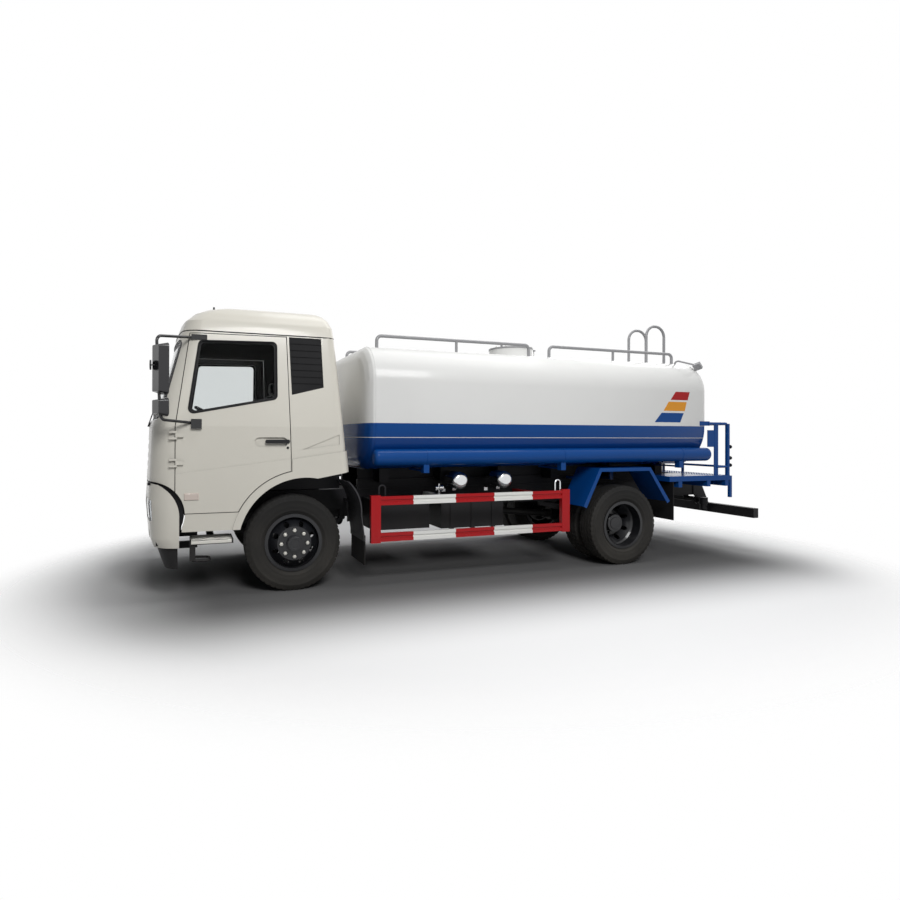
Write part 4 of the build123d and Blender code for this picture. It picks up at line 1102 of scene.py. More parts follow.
@dataclass
class Wheels(Kit):
    """Bright nuts and black hub caps on the front wheels, black caps on the rear hubs.

    The nut's shape is given in shares of its radius and height, a cap's in shares of its radius and
    distances from its face.
    """

    nut_circle: float = 0.1375
    nut_count: int = 8
    nut_radius: float = 0.0214
    nut_height: float = 0.031
    nut_shape: Shape = (
        (1.0, 0.0), (1.0, 0.72), (0.86, 0.8), (0.6, 0.82), (0.55, 1.0), (0.0, 1.0),
    )
    front_face: float = 0.150
    front_cap: Flat = (0.0795, 0.204)
    front_cap_shape: Shape = (
        (1.0, -0.054), (1.0, -0.008), (0.9, 0.0), (0.62, 0.0), (0.56, -0.004), (0.0, -0.004),
    )
    rear_cap: Flat = (0.1135, 0.1225)
    rear_cap_shape: Shape = (
        (1.0, -0.0725), (1.0, -0.006), (0.93, 0.0), (0.7, 0.0), (0.66, 0.006), (0.0, 0.008),
    )

    def _nuts(self, name: str, centre: Point, way: float) -> Piece:
        """Builds a ring of six-sided nuts on a front wheel's face.

        Args:
            name: object name.
            centre: the wheel's centre.
            way: 1 on the left, -1 on the right.

        Returns:
            The nuts as one object.
        """
        profile = [(self.nut_radius * wide, way * self.nut_height * tall) for wide, tall in self.nut_shape]
        nuts = []
        for index, (x, z) in enumerate(ring((centre[0], centre[2]), self.nut_circle, self.nut_count)):
            place = (x, centre[1] + way * self.front_face, z)
            nuts.append(self.bench.spun(f"{name}_{index}", profile, place, steps=6))
        return self.bench.joined(name, nuts)

    def fit(self) -> None:
        """Puts nuts and caps on all wheels."""
        for side, way in SIDES:
            for axle, node, body, (radius, face), shape in (
                ("front", "front_tyre", "front_wheel", self.front_cap, self.front_cap_shape),
                ("rear", "rear_rims", "rear_wheels", self.rear_cap, self.rear_cap_shape),
            ):
                low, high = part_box(f"{node}_{side}")
                centre = tuple((low + high) / 2)
                if axle == "front":
                    nuts = self._nuts(f"front_nuts_{side}", centre, way)
                    self.seat(nuts, f"front_wheel_{side}", "reservoir_silver", STEEL)
                profile = [(radius * wide, way * (face + step)) for wide, step in shape]
                cap = self.bench.spun(f"{axle}_hub_cap_{side}", profile, centre)
                self.seat(cap, f"{body}_{side}", "chassis_black", WHEEL_BLACK)


@dataclass
class CabTrim(Kit):
    """Glass borders, seals, roof strip, aerial, side lamps, door locks, mirror faces and step treads."""

    off_side: float = 1.5
    off_front: float = 2.0
    screen: Shape = ((-1.068, 1.800), (1.068, 1.800), (0.988, 2.595), (-0.988, 2.595))
    screen_round: float = 0.075
    screen_border: Flat = (0.93, 0.86)
    screen_gap: float = 0.06
    screen_lift: float = 0.0012
    window: Shape = ((1.062, 1.850), (0.190, 2.020), (0.190, 2.612), (0.955, 2.590))
    window_round: float = 0.045
    window_border: Flat = (0.985, 0.94)
    window_gap: float = 0.1
    window_lift: float = 0.001
    window_seal: float = 0.008
    belt: Flat = (1.730, 1.148)
    eaves: Flat = (2.690, 1.062)
    door_edge: Shape = ((1.176, 1.730), (1.044, 2.664), (0.087, 2.676), (0.046, 1.450))
    door_arcs: tuple[tuple[Flat, float, Flat], ...] = (
        ((-0.100, 0.520), 0.761, (78.9, 27.3)),
        ((1.408, 0.860), 0.3285, (178.6, 135.0)),
    )
    door_steps: int = 16
    door_seal: float = 0.0038
    seal_depth: float = 0.030
    roof_hub_x: float = 0.35
    roof_lift: float = 0.002
    roof_reach: float = 3.0
    roof_steps: int = 144
    roof_strip: float = 0.006
    aerial: Point = (0.80, 0.60, 3.3)
    aerial_shape: Shape = (
        (0.026, -0.01), (0.025, 0.010), (0.014, 0.022), (0.009, 0.036), (0.011, 0.048), (0.0, 0.056),
    )
    side_lamp: Span = (0.955, 1.092, 1.002, 1.070)
    side_lamp_cells: tuple[int, int] = (6, 4)
    side_lamp_lift: float = 0.010
    side_lamp_sink: float = 0.002
    side_lamp_round: float = 0.006
    lock: Flat = (0.082, 1.512)
    lock_shape: Shape = (
        (0.014, -0.003), (0.014, 0.003), (0.011, 0.006), (0.0045, 0.006), (0.004, 0.002), (0.0, 0.002),
    )
    mirror_at: Flat = (1.300, 1.385)
    mirror_turn: float = 28.0
    mirror_half: float = 0.075
    mirror_round: float = 0.026
    mirror_back: float = 0.0375
    mirror_thick: float = 0.003
    mirror_rows: Shape = ((2.034, 2.486), (1.829, 1.976))
    tread: Span = (0.640, 1.025, 0.850, 1.150)
    tread_foot: float = 0.598
    slat_count: int = 7
    slat_half: float = 0.013
    slat_thick: float = 0.010
    slat_round: float = 0.002
    step_edge: Span = (1.1585, 1.1635, 0.566, 0.598)

    def _skin(self, z: float) -> float:
        """Half width of the cab's upper side at a height."""
        share = (z - self.belt[0]) / (self.eaves[0] - self.belt[0])
        return self.belt[1] + share * (self.eaves[1] - self.belt[1])

    def _screen_border(self) -> None:
        """Lays the black border on the windscreen."""
        middle = (self.screen[0][1] + self.screen[2][1]) / 2
        wide, tall = self.screen_border
        rows = []
        for y, z in filled(rounded(list(self.screen), self.screen_round), self.screen_gap):
            inner = (y * wide, middle + (z - middle) * tall)
            rows.append([self.at(self.off_front, y, z), self.at(self.off_front, *inner)])
        border = self.bench.draped(
            "windscreen_border", "windscreen", rows, (-1, 0, 0), self.screen_lift, 0.0, closed=True
        )
        self.seat(border, "cab", "black_plastic", SEAL)

    def _window_borders(self) -> None:
        """Lays the black borders on the side panes and runs the seals round them."""
        outline = rounded(list(self.window), self.window_round)
        middle = [sum(values) / len(outline) for values in zip(*outline)]
        for side, way in SIDES:
            route = [self.at(x, way * self._skin(z), z) for x, z in outline]
            strip = self.bench.tube(f"window_seal_{side}", route, self.window_seal, closed=True)
            self.seat(strip, f"door_{side}", "black_plastic", SEAL)
            rows = []
            for place in filled(outline, self.window_gap):
                pair = []
                for share in self.window_border:
                    x, z = (mid + (value - mid) * share for mid, value in zip(middle, place))
                    pair.append(self.at(x, way * self.off_side, z))
                rows.append(pair)
            border = self.bench.draped(
                f"window_border_{side}", f"door_glass_{side}", rows, (0, -way, 0), self.window_lift, 0.0,
                closed=True,
            )
            self.seat(border, f"door_{side}", "black_plastic", SEAL)

    def _door_seals(self) -> None:
        """Runs a rubber seal round each door, in the gap between door and cab."""
        route = list(self.door_edge)
        for centre, radius, turns in self.door_arcs:
            route += arc(centre, radius, turns, self.door_steps)
        for side, way in SIDES:
            places = []
            for x, z in route:
                depth = self._skin(max(z, self.belt[0])) - self.seal_depth
                places.append(self.at(x, way * depth, z))
            strip = self.bench.tube(f"door_seal_{side}", places, self.door_seal, closed=True)
            self.seat(strip, f"door_{side}", "black_plastic", SEAL)

    def _roof(self) -> None:
        """Runs the dark strip round the roof's foot and sets the aerial."""
        hub = Vector(self.at(self.roof_hub_x, 0.0, self.eaves[0] + self.roof_lift))
        route = []
        for x, y in ring((0.0, 0.0), 1.0, self.roof_steps):
            away = Vector((x, y, 0.0))
            route.append(tuple(self.bench.cast("cab_roof", hub + self.roof_reach * away, -away)))
        strip = self.bench.tube("roof_strip", route, self.roof_strip, closed=True)
        self.seat(strip, "cab", "black_plastic", SEAL)
        top = self.bench.cast("cab_roof", self.at(*self.aerial), (0, 0, -1))
        aerial = self.bench.spun("roof_aerial", self.aerial_shape, tuple(top), Axis.Z)
        self.seat(aerial, "cab", "black_plastic", BLACK_PLASTIC)

    def _doors(self) -> None:
        """Sets the side lamps and locks."""
        x0, x1, z0, z1 = self.side_lamp
        columns, rows = self.side_lamp_cells
        xs = [x0 + (x1 - x0) * column / columns for column in range(columns + 1)]
        zs = [z0 + (z1 - z0) * row / rows for row in range(rows + 1)]
        for side, way in SIDES:
            node = f"door_{side}"
            inward = (0, -way, 0)
            grid = [[self.at(x, way * self.off_side, z) for z in zs] for x in xs]
            lamp = self.bench.draped(
                f"side_lamp_{side}", node, grid, inward, self.side_lamp_lift, self.side_lamp_sink
            )
            self.bench.round_edges(lamp, self.side_lamp_round)
            self.seat(lamp, node, "lamp_glass", AMBER_LENS)
            spot = self.bench.cast(node, self.at(self.lock[0], way * self.off_side, self.lock[1]), inward)
            profile = [(radius, way * reach) for radius, reach in self.lock_shape]
            lock = self.bench.spun(f"door_lock_{side}", profile, tuple(spot), steps=24)
            self.seat(lock, node, "black_plastic", GLOSS_BLACK)

    def _mirrors(self) -> None:
        """Sets the mirror faces into their housings."""
        turn = Matrix.Rotation(math.radians(self.mirror_turn), 3, "Z")
        back = turn @ Vector((-self.mirror_thick, 0.0, 0.0))
        half = self.mirror_half
        mirror_x, mirror_y = self.mirror_at
        for side, way in SIDES:
            for index, (low, high) in enumerate(self.mirror_rows):
                corners = []
                for across, z in rounded(oblong(-half, half, low, high), self.mirror_round):
                    spot = turn @ Vector((-self.mirror_back, across, 0.0))
                    corners.append(self.at(mirror_x + spot.x, way * (mirror_y + spot.y), z))
                face = self.bench.slab(f"mirror_face_{side}_{index}", corners, (back.x, way * back.y, 0.0))
                self.seat(face, f"door_{side}", "reservoir_silver", MIRROR)

    def _steps(self) -> None:
        """Lays bright slats on the steps."""
        x0, x1, y0, y1 = self.tread
        edge_in, edge_out, edge_low, edge_high = self.step_edge
        for side, way in SIDES:
            slats = []
            for index in range(self.slat_count):
                middle = y0 + (y1 - y0) * (index + 0.5) / self.slat_count
                near, far = sorted((way * (middle - self.slat_half), way * (middle + self.slat_half)))
                corners = [self.at(x, y, self.tread_foot) for x, y in oblong(x0, x1, near, far)]
                slats.append(self.bench.slab(f"slat_{side}_{index}", corners, (0.0, 0.0, self.slat_thick)))
            near, far = sorted((way * edge_in, way * edge_out))
            rim = [self.at(x, near, z) for x, z in oblong(x0, x1, edge_low, edge_high)]
            slats.append(self.bench.slab(f"slat_{side}_edge", rim, (0.0, far - near, 0.0)))
            tread = self.bench.joined(f"step_tread_{side}", slats)
            self.bench.round_edges(tread, self.slat_round, 2)
            self.seat(tread, "chassis", "reservoir_silver", STEEL)

    def fit(self) -> None:
        """Builds all the trim."""
        self._screen_border()
        self._window_borders()
        self._door_seals()
        self._roof()
        self._doors()
        self._mirrors()
        self._steps()


@dataclass
class Lamps(Kit):
    """Reflectors behind the front lenses.

    A bowl is given by its place and radius, and its shape by shares of the radius and depths.
    """

    bowls: tuple[tuple[Point, float], ...] = (
        ((1.400, 0.80, 0.915), 0.080),
        ((1.335, 0.985, 0.915), 0.072),
        ((1.385, 0.88, 0.650), 0.050),
    )
    bowl_shape: Shape = (
        (0.0, -0.055), (0.35, -0.048), (0.7, -0.026), (1.0, 0.0),
        (1.0, -0.004), (0.7, -0.032), (0.35, -0.054), (0.0, -0.060),
    )
    bulb_shape: Shape = (
        (0.0, -0.056), (0.009, -0.052), (0.011, -0.03), (0.008, -0.018), (0.0, -0.014),
    )

    def fit(self) -> None:
        """Builds the reflectors with their bulbs."""
        for side, way in SIDES:
            parts = []
            for index, ((x, y, z), radius) in enumerate(self.bowls):
                place = self.at(x, way * y, z)
                profile = [(radius * wide, depth) for wide, depth in self.bowl_shape]
                parts.append(self.bench.spun(f"bowl_{side}_{index}", profile, place, Axis.X))
                bulb = self.bench.spun(f"bulb_{side}_{index}", self.bulb_shape, place, Axis.X, steps=20)
                parts.append(bulb)
            whole = self.bench.joined(f"lamp_reflectors_{side}", parts)
            self.seat(whole, "chassis", "reservoir_silver", SILVER)


@dataclass
class Seats(Kit):
    """Two seats and a bunk: stuffed cloth pads on hard bases.

    A span gives a piece's low and high x, then its low and high z.
    """

    inner: float = 0.52
    outer: float = 0.96
    base: Span = (0.06, 0.44, 1.262, 1.428)
    base_inset: float = 0.06
    base_round: float = 0.02
    cushion: Span = (0.04, 0.53, 1.405, 1.560)
    back: Span = (-0.06, 0.10, 1.500, 2.180)
    back_inset: float = 0.01
    seat_crown: float = 0.16
    seat_channels: int = 3
    headrest: Span = (-0.055, 0.045, 2.185, 2.340)
    headrest_half: float = 0.13
    headrest_crown: float = 0.24
    bunk: Span = (-0.44, -0.14, 1.395, 1.640)
    bunk_half: float = 0.90
    bunk_crown: float = 0.08
    bunk_channels: int = 5

    def _corners(self, span: Span, low_y: float, high_y: float) -> tuple[Point, Point]:
        """Gives the lowest and highest corner of a piece's box."""
        return self.at(span[0], low_y, span[2]), self.at(span[1], high_y, span[3])

    def _side(self, side: str, way: float) -> None:
        """Builds one seat.

        Args:
            side: left or right.
            way: 1 on the left, -1 on the right.
        """
        low_y, high_y = sorted((way * self.inner, way * self.outer))
        middle = (low_y + high_y) / 2
        corners = self._corners(self.base, low_y + self.base_inset, high_y - self.base_inset)
        base = self.bench.bar(f"seat_base_{side}", *corners, self.base_round)
        self.seat(base, "cab", "black_plastic", BLACK_PLASTIC)
        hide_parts("seats")
        back = self._corners(self.back, low_y + self.back_inset, high_y - self.back_inset)
        head = self._corners(self.headrest, middle - self.headrest_half, middle + self.headrest_half)
        for label, corners, crown, channels in (
            ("cushion", self._corners(self.cushion, low_y, high_y), self.seat_crown, self.seat_channels),
            ("back", back, self.seat_crown, self.seat_channels),
            ("headrest", head, self.headrest_crown, 0),
        ):
            pad = self.bench.cushion(f"seat_{label}_{side}", *corners, crown, channels)
            self.seat(pad, "cab", "seat_fabric", SEAT_CLOTH)
            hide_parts("seats")

    def fit(self) -> None:
        """Builds the pads in place of the plain seats."""
        for side, way in SIDES:
            self._side(side, way)
        corners = self._corners(self.bunk, -self.bunk_half, self.bunk_half)
        bunk = self.bench.cushion("bunk_pad", *corners, self.bunk_crown, self.bunk_channels)
        self.seat(bunk, "cab", "seat_fabric", SEAT_CLOTH)
        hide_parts("seats")


@dataclass
class TankTrim(Kit):
    """Slanted stripes, weld seams and the manhole's bolts."""

    paint: Material
    half_width: float = 1.150
    proud: float = 0.0012
    sunk: float = 0.002
    stripes: tuple[tuple[str, Finish, Shape], ...] = (
        ("red", STRIPE_RED, ((-5.081, 2.240), (-5.323, 2.240), (-5.288, 2.130), (-4.995, 2.130))),
        ("orange", STRIPE_ORANGE, ((-4.962, 2.105), (-5.271, 2.105), (-5.237, 1.983), (-4.877, 1.983))),
        ("blue", BLUE, ((-4.844, 1.956), (-5.219, 1.956), (-5.159, 1.830), (-4.727, 1.830))),
    )
    seams: Flat = (-0.880, -5.570)
    seam_radius: float = 0.004
    seam_steps: int = 12
    section: Flat = (1.250, 2.670)
    low_round: float = 0.500
    high_round: float = 0.430
    manhole_x: float = -3.250
    lid_thick: float = 0.022
    bolt_circle: float = 0.288
    bolt_count: int = 12
    bolt_shape: Shape = (
        (0.013, -0.002), (0.013, 0.008), (0.011, 0.010), (0.006, 0.010), (0.006, 0.018), (0.0, 0.018),
    )

    def _stripes(self) -> None:
        """Lays the three slanted stripes on both flanks."""
        for label, finish, shape in self.stripes:
            for side, way in SIDES:
                corners = [self.at(x, way * (self.half_width - self.sunk), z) for x, z in shape]
                push = (0.0, way * (self.proud + self.sunk), 0.0)
                plate = self.bench.slab(f"stripe_{label}_{side}", corners, push)
                self.seat(plate, "chassis", "tank_white", finish)

    def _seams(self) -> None:
        """Runs a weld bead round each end of the barrel, in the tank's own paint."""
        low, high = self.section
        outline: list[Flat] = []
        for way, end, radius, start in (
            (1, low + self.low_round, self.low_round, -90.0),
            (1, high - self.high_round, self.high_round, 0.0),
            (-1, high - self.high_round, self.high_round, 90.0),
            (-1, low + self.low_round, self.low_round, 180.0),
        ):
            centre = (way * (self.half_width - radius), end)
            outline += arc(centre, radius, (start, start + 90.0), self.seam_steps)
        for index, x in enumerate(self.seams):
            route = [self.at(x, y, z) for y, z in outline]
            bead = self.bench.tube(f"tank_seam_{index}", route, self.seam_radius, closed=True)
            self.bench.seat(bead, "chassis", "tank_white", self.paint)

    def _bolts(self) -> None:
        """Rings the manhole lid with bolts."""
        low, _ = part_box("manhole_lid")
        places = ring((self.manhole_x, 0.0), self.bolt_circle, self.bolt_count, 180.0 / self.bolt_count)
        bolts = []
        for index, (x, y) in enumerate(places):
            place = self.at(x, y, low.z + self.lid_thick)
            bolts.append(self.bench.spun(f"lid_bolt_{index}", self.bolt_shape, place, Axis.Z, steps=6))
        whole = self.bench.joined("lid_bolts", bolts)
        self.seat(whole, "manhole_lid", "rail_steel", STEEL)

    def fit(self) -> None:
        """Builds the stripes, seams and bolts."""
        self._stripes()
        self._seams()
        self._bolts()


@dataclass
class ShadePlates(Kit):
    """Painted shade: plain dark plates that close the wheel arch, the bumper's ends and the space under the
    tank, standing in for the shade there.

    A span gives a plate's low and high x, then its low and high z. The plates at the bumper follow arcs
    about the cab's tilt pivot.
    """

    arch: Span = (-0.600, 0.550, 1.030, 1.202)
    arch_y: float = 0.620
    pivot: Flat = (1.408, 0.860)
    sweep: float = 0.316
    sweep_turn: Flat = (115.0, 215.0)
    sweep_steps: int = 10
    bumper_y: float = 1.100
    bumper_low: float = 0.560
    bumper_front: float = 1.350
    deck_turn: Flat = (86.0, 150.0)
    deck_rim: float = 0.290
    deck_y: Flat = (0.520, 1.060)
    web: Span = (-5.600, -0.885, 1.105, 1.250)
    web_y: float = 0.380
    plate: float = 0.006

    def _pair(self, name: str, body: str, outline: list[Flat], y: float, depth: float) -> None:
        """Makes one plate for each side from its outline in side view.

        Args:
            name: start of their names.
            body: the body that carries them.
            outline: the outline, from the front axle.
            y: distance from the middle.
            depth: how far they reach outward from there.
        """
        for side, way in SIDES:
            corners = [self.at(x, way * y, z) for x, z in outline]
            plate = self.bench.slab(f"{name}_{side}", corners, (0.0, way * depth, 0.0))
            # Black as painted shade, where the truck shows only shadow.
            self.seat(plate, body, "black_plastic", CHASSIS_BLACK)

    def fit(self) -> None:
        """Builds the plates."""
        self._pair("arch_shade_plate", "cab", oblong(*self.arch), self.arch_y, self.plate)
        self._pair("tank_shade_web", "chassis", oblong(*self.web), self.web_y, self.plate)
        liner = arc(self.pivot, self.sweep, self.sweep_turn, self.sweep_steps)
        top, foot = liner[0][1], liner[-1][0]
        liner += [(foot, self.bumper_low), (self.bumper_front, self.bumper_low), (self.bumper_front, top)]
        self._pair("bumper_shade_plate", "chassis", liner, self.bumper_y, self.plate)
        deck = arc(self.pivot, self.sweep, self.deck_turn, self.sweep_steps)
        deck += arc(self.pivot, self.deck_rim, self.deck_turn[::-1], self.sweep_steps)
        near, far = self.deck_y
        self._pair("bumper_shade_deck", "chassis", deck, near, far - near)


@dataclass
class SideGear(Kit):
    """Cable loops, the valve by the air vessels, platform treads and rear knobs."""

    loops: tuple[tuple[float, float, Finish], ...] = (
        (-0.95, 1.095, BLACK_PLASTIC),
        (-3.22, 1.105, SILVER),
    )
    loop_y: float = 1.150
    loop_half: float = 0.036
    loop_foot: float = 0.960
    loop_radius: float = 0.011
    loop_steps: int = 12
    valve: Point = (-1.760, 0.86, 1.02)
    valve_shape: Shape = (
        (0.0, -0.05), (0.03, -0.05), (0.034, -0.03), (0.034, 0.0), (0.022, 0.006),
        (0.022, 0.03), (0.028, 0.034), (0.028, 0.05), (0.0, 0.052),
    )
    stem_shape: Shape = (
        (0.016, -0.16), (0.016, 0.03), (0.011, 0.034), (0.011, 0.05), (0.0, 0.052),
    )
    deck: Span = (-5.990, -5.665, -1.120, 1.120)
    deck_top: float = 1.110
    tread_gap: float = 0.045
    tread_long: float = 0.016
    tread_short: float = 0.005
    tread_ridge: float = 0.3
    tread_sunk: float = 0.001
    tread_high: float = 0.004
    knobs: tuple[float, ...] = (1.500, 1.345, 1.245)
    knob_at: Flat = (-6.025, 1.150)
    knob_shape: Shape = (
        (0.010, 0.01), (0.010, -0.02), (0.022, -0.024), (0.026, -0.034), (0.022, -0.044), (0.0, -0.048),
    )

    def _loops(self) -> None:
        """Bends the cable loops above the guard."""
        half = self.loop_half
        for index, (x, top, finish) in enumerate(self.loops):
            bend = arc((x, top - half), half, (180.0, 0.0), self.loop_steps)
            outline = [(x - half, self.loop_foot), *bend, (x + half, self.loop_foot)]
            route = [self.at(along, self.loop_y, up) for along, up in outline]
            loop = self.bench.tube(f"cable_loop_{index}", route, self.loop_radius)
            self.seat(loop, "chassis", "black_plastic", finish)

    def _tread(self) -> None:
        """Raises the diamonds of the platform's plate."""
        x0, x1, y0, y1 = self.deck
        low, high = self.deck_top - self.tread_sunk, self.deck_top + self.tread_high
        points: list[Point] = []
        faces: list[Face] = []
        for row in range(int((x1 - x0) / self.tread_gap)):
            for column in range(int((y1 - y0) / self.tread_gap)):
                x = self.bench.axle_x + x0 + self.tread_gap * (row + 0.5)
                y = y0 + self.tread_gap * (column + 0.5)
                along, across = self.tread_short, self.tread_long
                if (row + column) % 2:
                    along, across = across, along
                back, right, front, left, tail, nose = range(len(points), len(points) + 6)
                points += [(x - along, y, low), (x, y - across, low)]
                points += [(x + along, y, low), (x, y + across, low)]
                for way in (-self.tread_ridge, self.tread_ridge):
                    points.append((x + way * along, y + way * across, high))
                faces += [(back, right, tail), (right, front, nose, tail), (front, left, nose)]
                faces += [(left, back, tail, nose), (back, left, front, right)]
        tread = self.bench.mesh("platform_tread", points, faces)
        self.seat(tread, "chassis", "tank_blue", BLUE)

    def _fittings(self) -> None:
        """Sets the small valve and the rear knobs."""
        place = self.at(*self.valve)
        body = self.bench.spun("valve_body", self.valve_shape, place, Axis.X, steps=24)
        stem = self.bench.spun("valve_stem", self.stem_shape, place, Axis.Z, steps=20)
        valve = self.bench.joined("drain_valve", [body, stem])
        self.seat(valve, "chassis", "reservoir_silver", SILVER)
        parts = []
        for index, height in enumerate(self.knobs):
            place = self.at(*self.knob_at, height)
            parts.append(self.bench.spun(f"knob_{index}", self.knob_shape, place, Axis.X, steps=24))
        knobs = self.bench.joined("valve_knobs", parts)
        self.seat(knobs, "chassis", "black_plastic", BLACK_PLASTIC)

    def fit(self) -> None:
        """Builds all the side gear."""
        self._loops()
        self._tread()
        self._fittings()


@dataclass(frozen=True)
class SoftBox:
    """One area light.

    Args:
        name: light name.
        place: where it hangs, in metres.
        aim: the point that it shines at.
        size: edge of its square.
        power: its power in watts.
    """

    name: str
    place: Point
    aim: Point
    size: float
    power: float


@dataclass
class Studio:
    """Floor, soft light and the camera."""

    eye: Point = (3.541, 7.137, 1.642)
    yaw: float = 0.339
    pitch: float = 0.003
    roll: float = 0.003
    lens_mm: float = 22.96
    sensor_mm: float = 36.0
    shift: Flat = (0.0624, -0.0179)
    sight: float = 200.0
    floor_shade: float = 0.92
    floor_roughness: float = 0.9
    floor_size: float = 60.0
    fade_near: float = 0.9
    fade_far: float = 1.2
    fade_reach: Point = (4.9, 4.2, 1.0)
    shade: float = 0.15
    shade_at: Point = (0.0, 0.75, 0.0)
    shade_half: Point = (3.2, 0.6, 1.0)
    shade_edge: float = 1.8
    sky: Colour = (0.95, 0.97, 1.0)
    sky_strength: float = 0.13
    backdrop: Colour = (1.0, 1.0, 1.0)
    boxes: tuple[SoftBox, ...] = (
        SoftBox("key", (1.7, 10.5, 8.0), (1.0, 0.5, 1.3), 4.0, 860.0),
        SoftBox("top", (-1.5, 0.5, 9.5), (-1.5, 0.0, 1.0), 7.0, 420.0),
        SoftBox("back", (-9.0, -6.0, 6.0), (-1.0, 0.0, 1.3), 6.0, 200.0),
        SoftBox("front", (10.0, -2.0, 5.0), (2.0, 0.0, 1.5), 5.0, 15.0),
    )

    def camera(self) -> None:
        """Places the camera at the photograph's viewpoint."""
        data = bpy.data.cameras.new("view")
        data.sensor_width = self.sensor_mm
        data.lens = self.lens_mm
        data.shift_x, data.shift_y = self.shift
        data.clip_end = self.sight
        camera = placed("view", data)
        level = math.cos(self.pitch)
        forward = Vector((-math.sin(self.yaw) * level, -math.cos(self.yaw) * level, math.sin(self.pitch)))
        turn = forward.to_track_quat("-Z", "Y").to_matrix().to_4x4()
        camera.matrix_world = Matrix.Translation(self.eye) @ turn @ Matrix.Rotation(self.roll, 4, "Z")
        bpy.context.scene.camera = camera

    @staticmethod
    def _smooth_step(tree: Tree, inputs: Inputs) -> Socket:
        """Adds a soft step from one value to another and gives its result."""
        return add_node(tree, "ShaderNodeMapRange", inputs, interpolation_type="SMOOTHSTEP").outputs[0]

    def _ground_shade(self, tree: Tree, place: Socket) -> Socket:
        """Darkens the ground softly round the truck's footprint.

        Args:
            tree: the floor's nodes.
            place: position on the floor.

        Returns:
            The floor's colour.
        """
        value = place
        for operation, amount in (
            ("SUBTRACT", self.shade_at),
            ("ABSOLUTE", None),
            ("SUBTRACT", self.shade_half),
            ("MAXIMUM", (0.0, 0.0, 0.0)),
        ):
            inputs = {0: value} if amount is None else {0: value, 1: amount}
            value = add_node(tree, "ShaderNodeVectorMath", inputs, operation=operation).outputs["Vector"]
        away = add_node(tree, "ShaderNodeVectorMath", {0: value}, operation="LENGTH").outputs["Value"]
        tones = {"To Min": self.shade, "To Max": self.floor_shade}
        return self._smooth_step(tree, {"Value": away, "From Max": self.shade_edge} | tones)

    def floor(self) -> None:
        """Lays a pale floor that fades out to the white background."""
        bpy.ops.mesh.primitive_plane_add(size=self.floor_size, location=(0.0, 0.0, 0.0))
        floor = bpy.context.object
        floor.name = "floor"
        material = bpy.data.materials.new("pale_floor")
        material.use_nodes = True
        tree = material.node_tree
        place = add_node(tree, "ShaderNodeTexCoord").outputs["Object"]
        shader = tree.nodes["Principled BSDF"]
        looks = {"Roughness": self.floor_roughness, "Specular IOR Level": 0.0}
        wire(tree, shader, looks | {"Base Color": self._ground_shade(tree, place)})
        ends = {0: place, 1: self.fade_reach}
        share = add_node(tree, "ShaderNodeVectorMath", ends, operation="DIVIDE").outputs[0]
        away = add_node(tree, "ShaderNodeVectorMath", {0: share}, operation="LENGTH").outputs["Value"]
        reach = {"Value": away, "From Min": self.fade_near, "From Max": self.fade_far}
        fade = self._smooth_step(tree, reach)
        clear = add_node(tree, "ShaderNodeBsdfTransparent")
        ends = {"Fac": fade, 1: shader.outputs[0], 2: clear.outputs[0]}
        surface = add_node(tree, "ShaderNodeMixShader", ends).outputs[0]
        wire(tree, tree.nodes["Material Output"], {"Surface": surface})
        floor.data.materials.append(material)

    def _sky(self) -> None:
        """Sets the sky, which is white where it is seen or mirrored."""
        world = bpy.data.worlds.new("sky")
        bpy.context.scene.world = world
        world.use_nodes = True
        tree = world.node_tree
        ground = tree.nodes["Background"]
        wire(tree, ground, {"Color": self.sky, "Strength": self.sky_strength})
        bright = add_node(tree, "ShaderNodeBackground", {"Color": self.backdrop, "Strength": 1.0})
        path = add_node(tree, "ShaderNodeLightPath").outputs
        seen = path["Is Camera Ray"]
        for label in ("Is Glossy Ray", "Is Transmission Ray"):
            rays = {0: seen, 1: path[label]}
            seen = add_node(tree, "ShaderNodeMath", rays, operation="MAXIMUM").outputs[0]
        ends = {"Fac": seen, 1: ground.outputs[0], 2: bright.outputs[0]}
        surface = add_node(tree, "ShaderNodeMixShader", ends).outputs[0]
        wire(tree, tree.nodes["World Output"], {"Surface": surface})

    def light(self) -> None:
        """Sets the sky and hangs the soft boxes."""
        self._sky()
        for box in self.boxes:
            data = bpy.data.lights.new(box.name, "AREA")
            data.size = box.size
            data.energy = box.power
            lamp = placed(box.name, data)
            lamp.location = box.place
            way = Vector(box.aim) - Vector(box.place)
            lamp.rotation_euler = way.to_track_quat("-Z", "Y").to_euler()


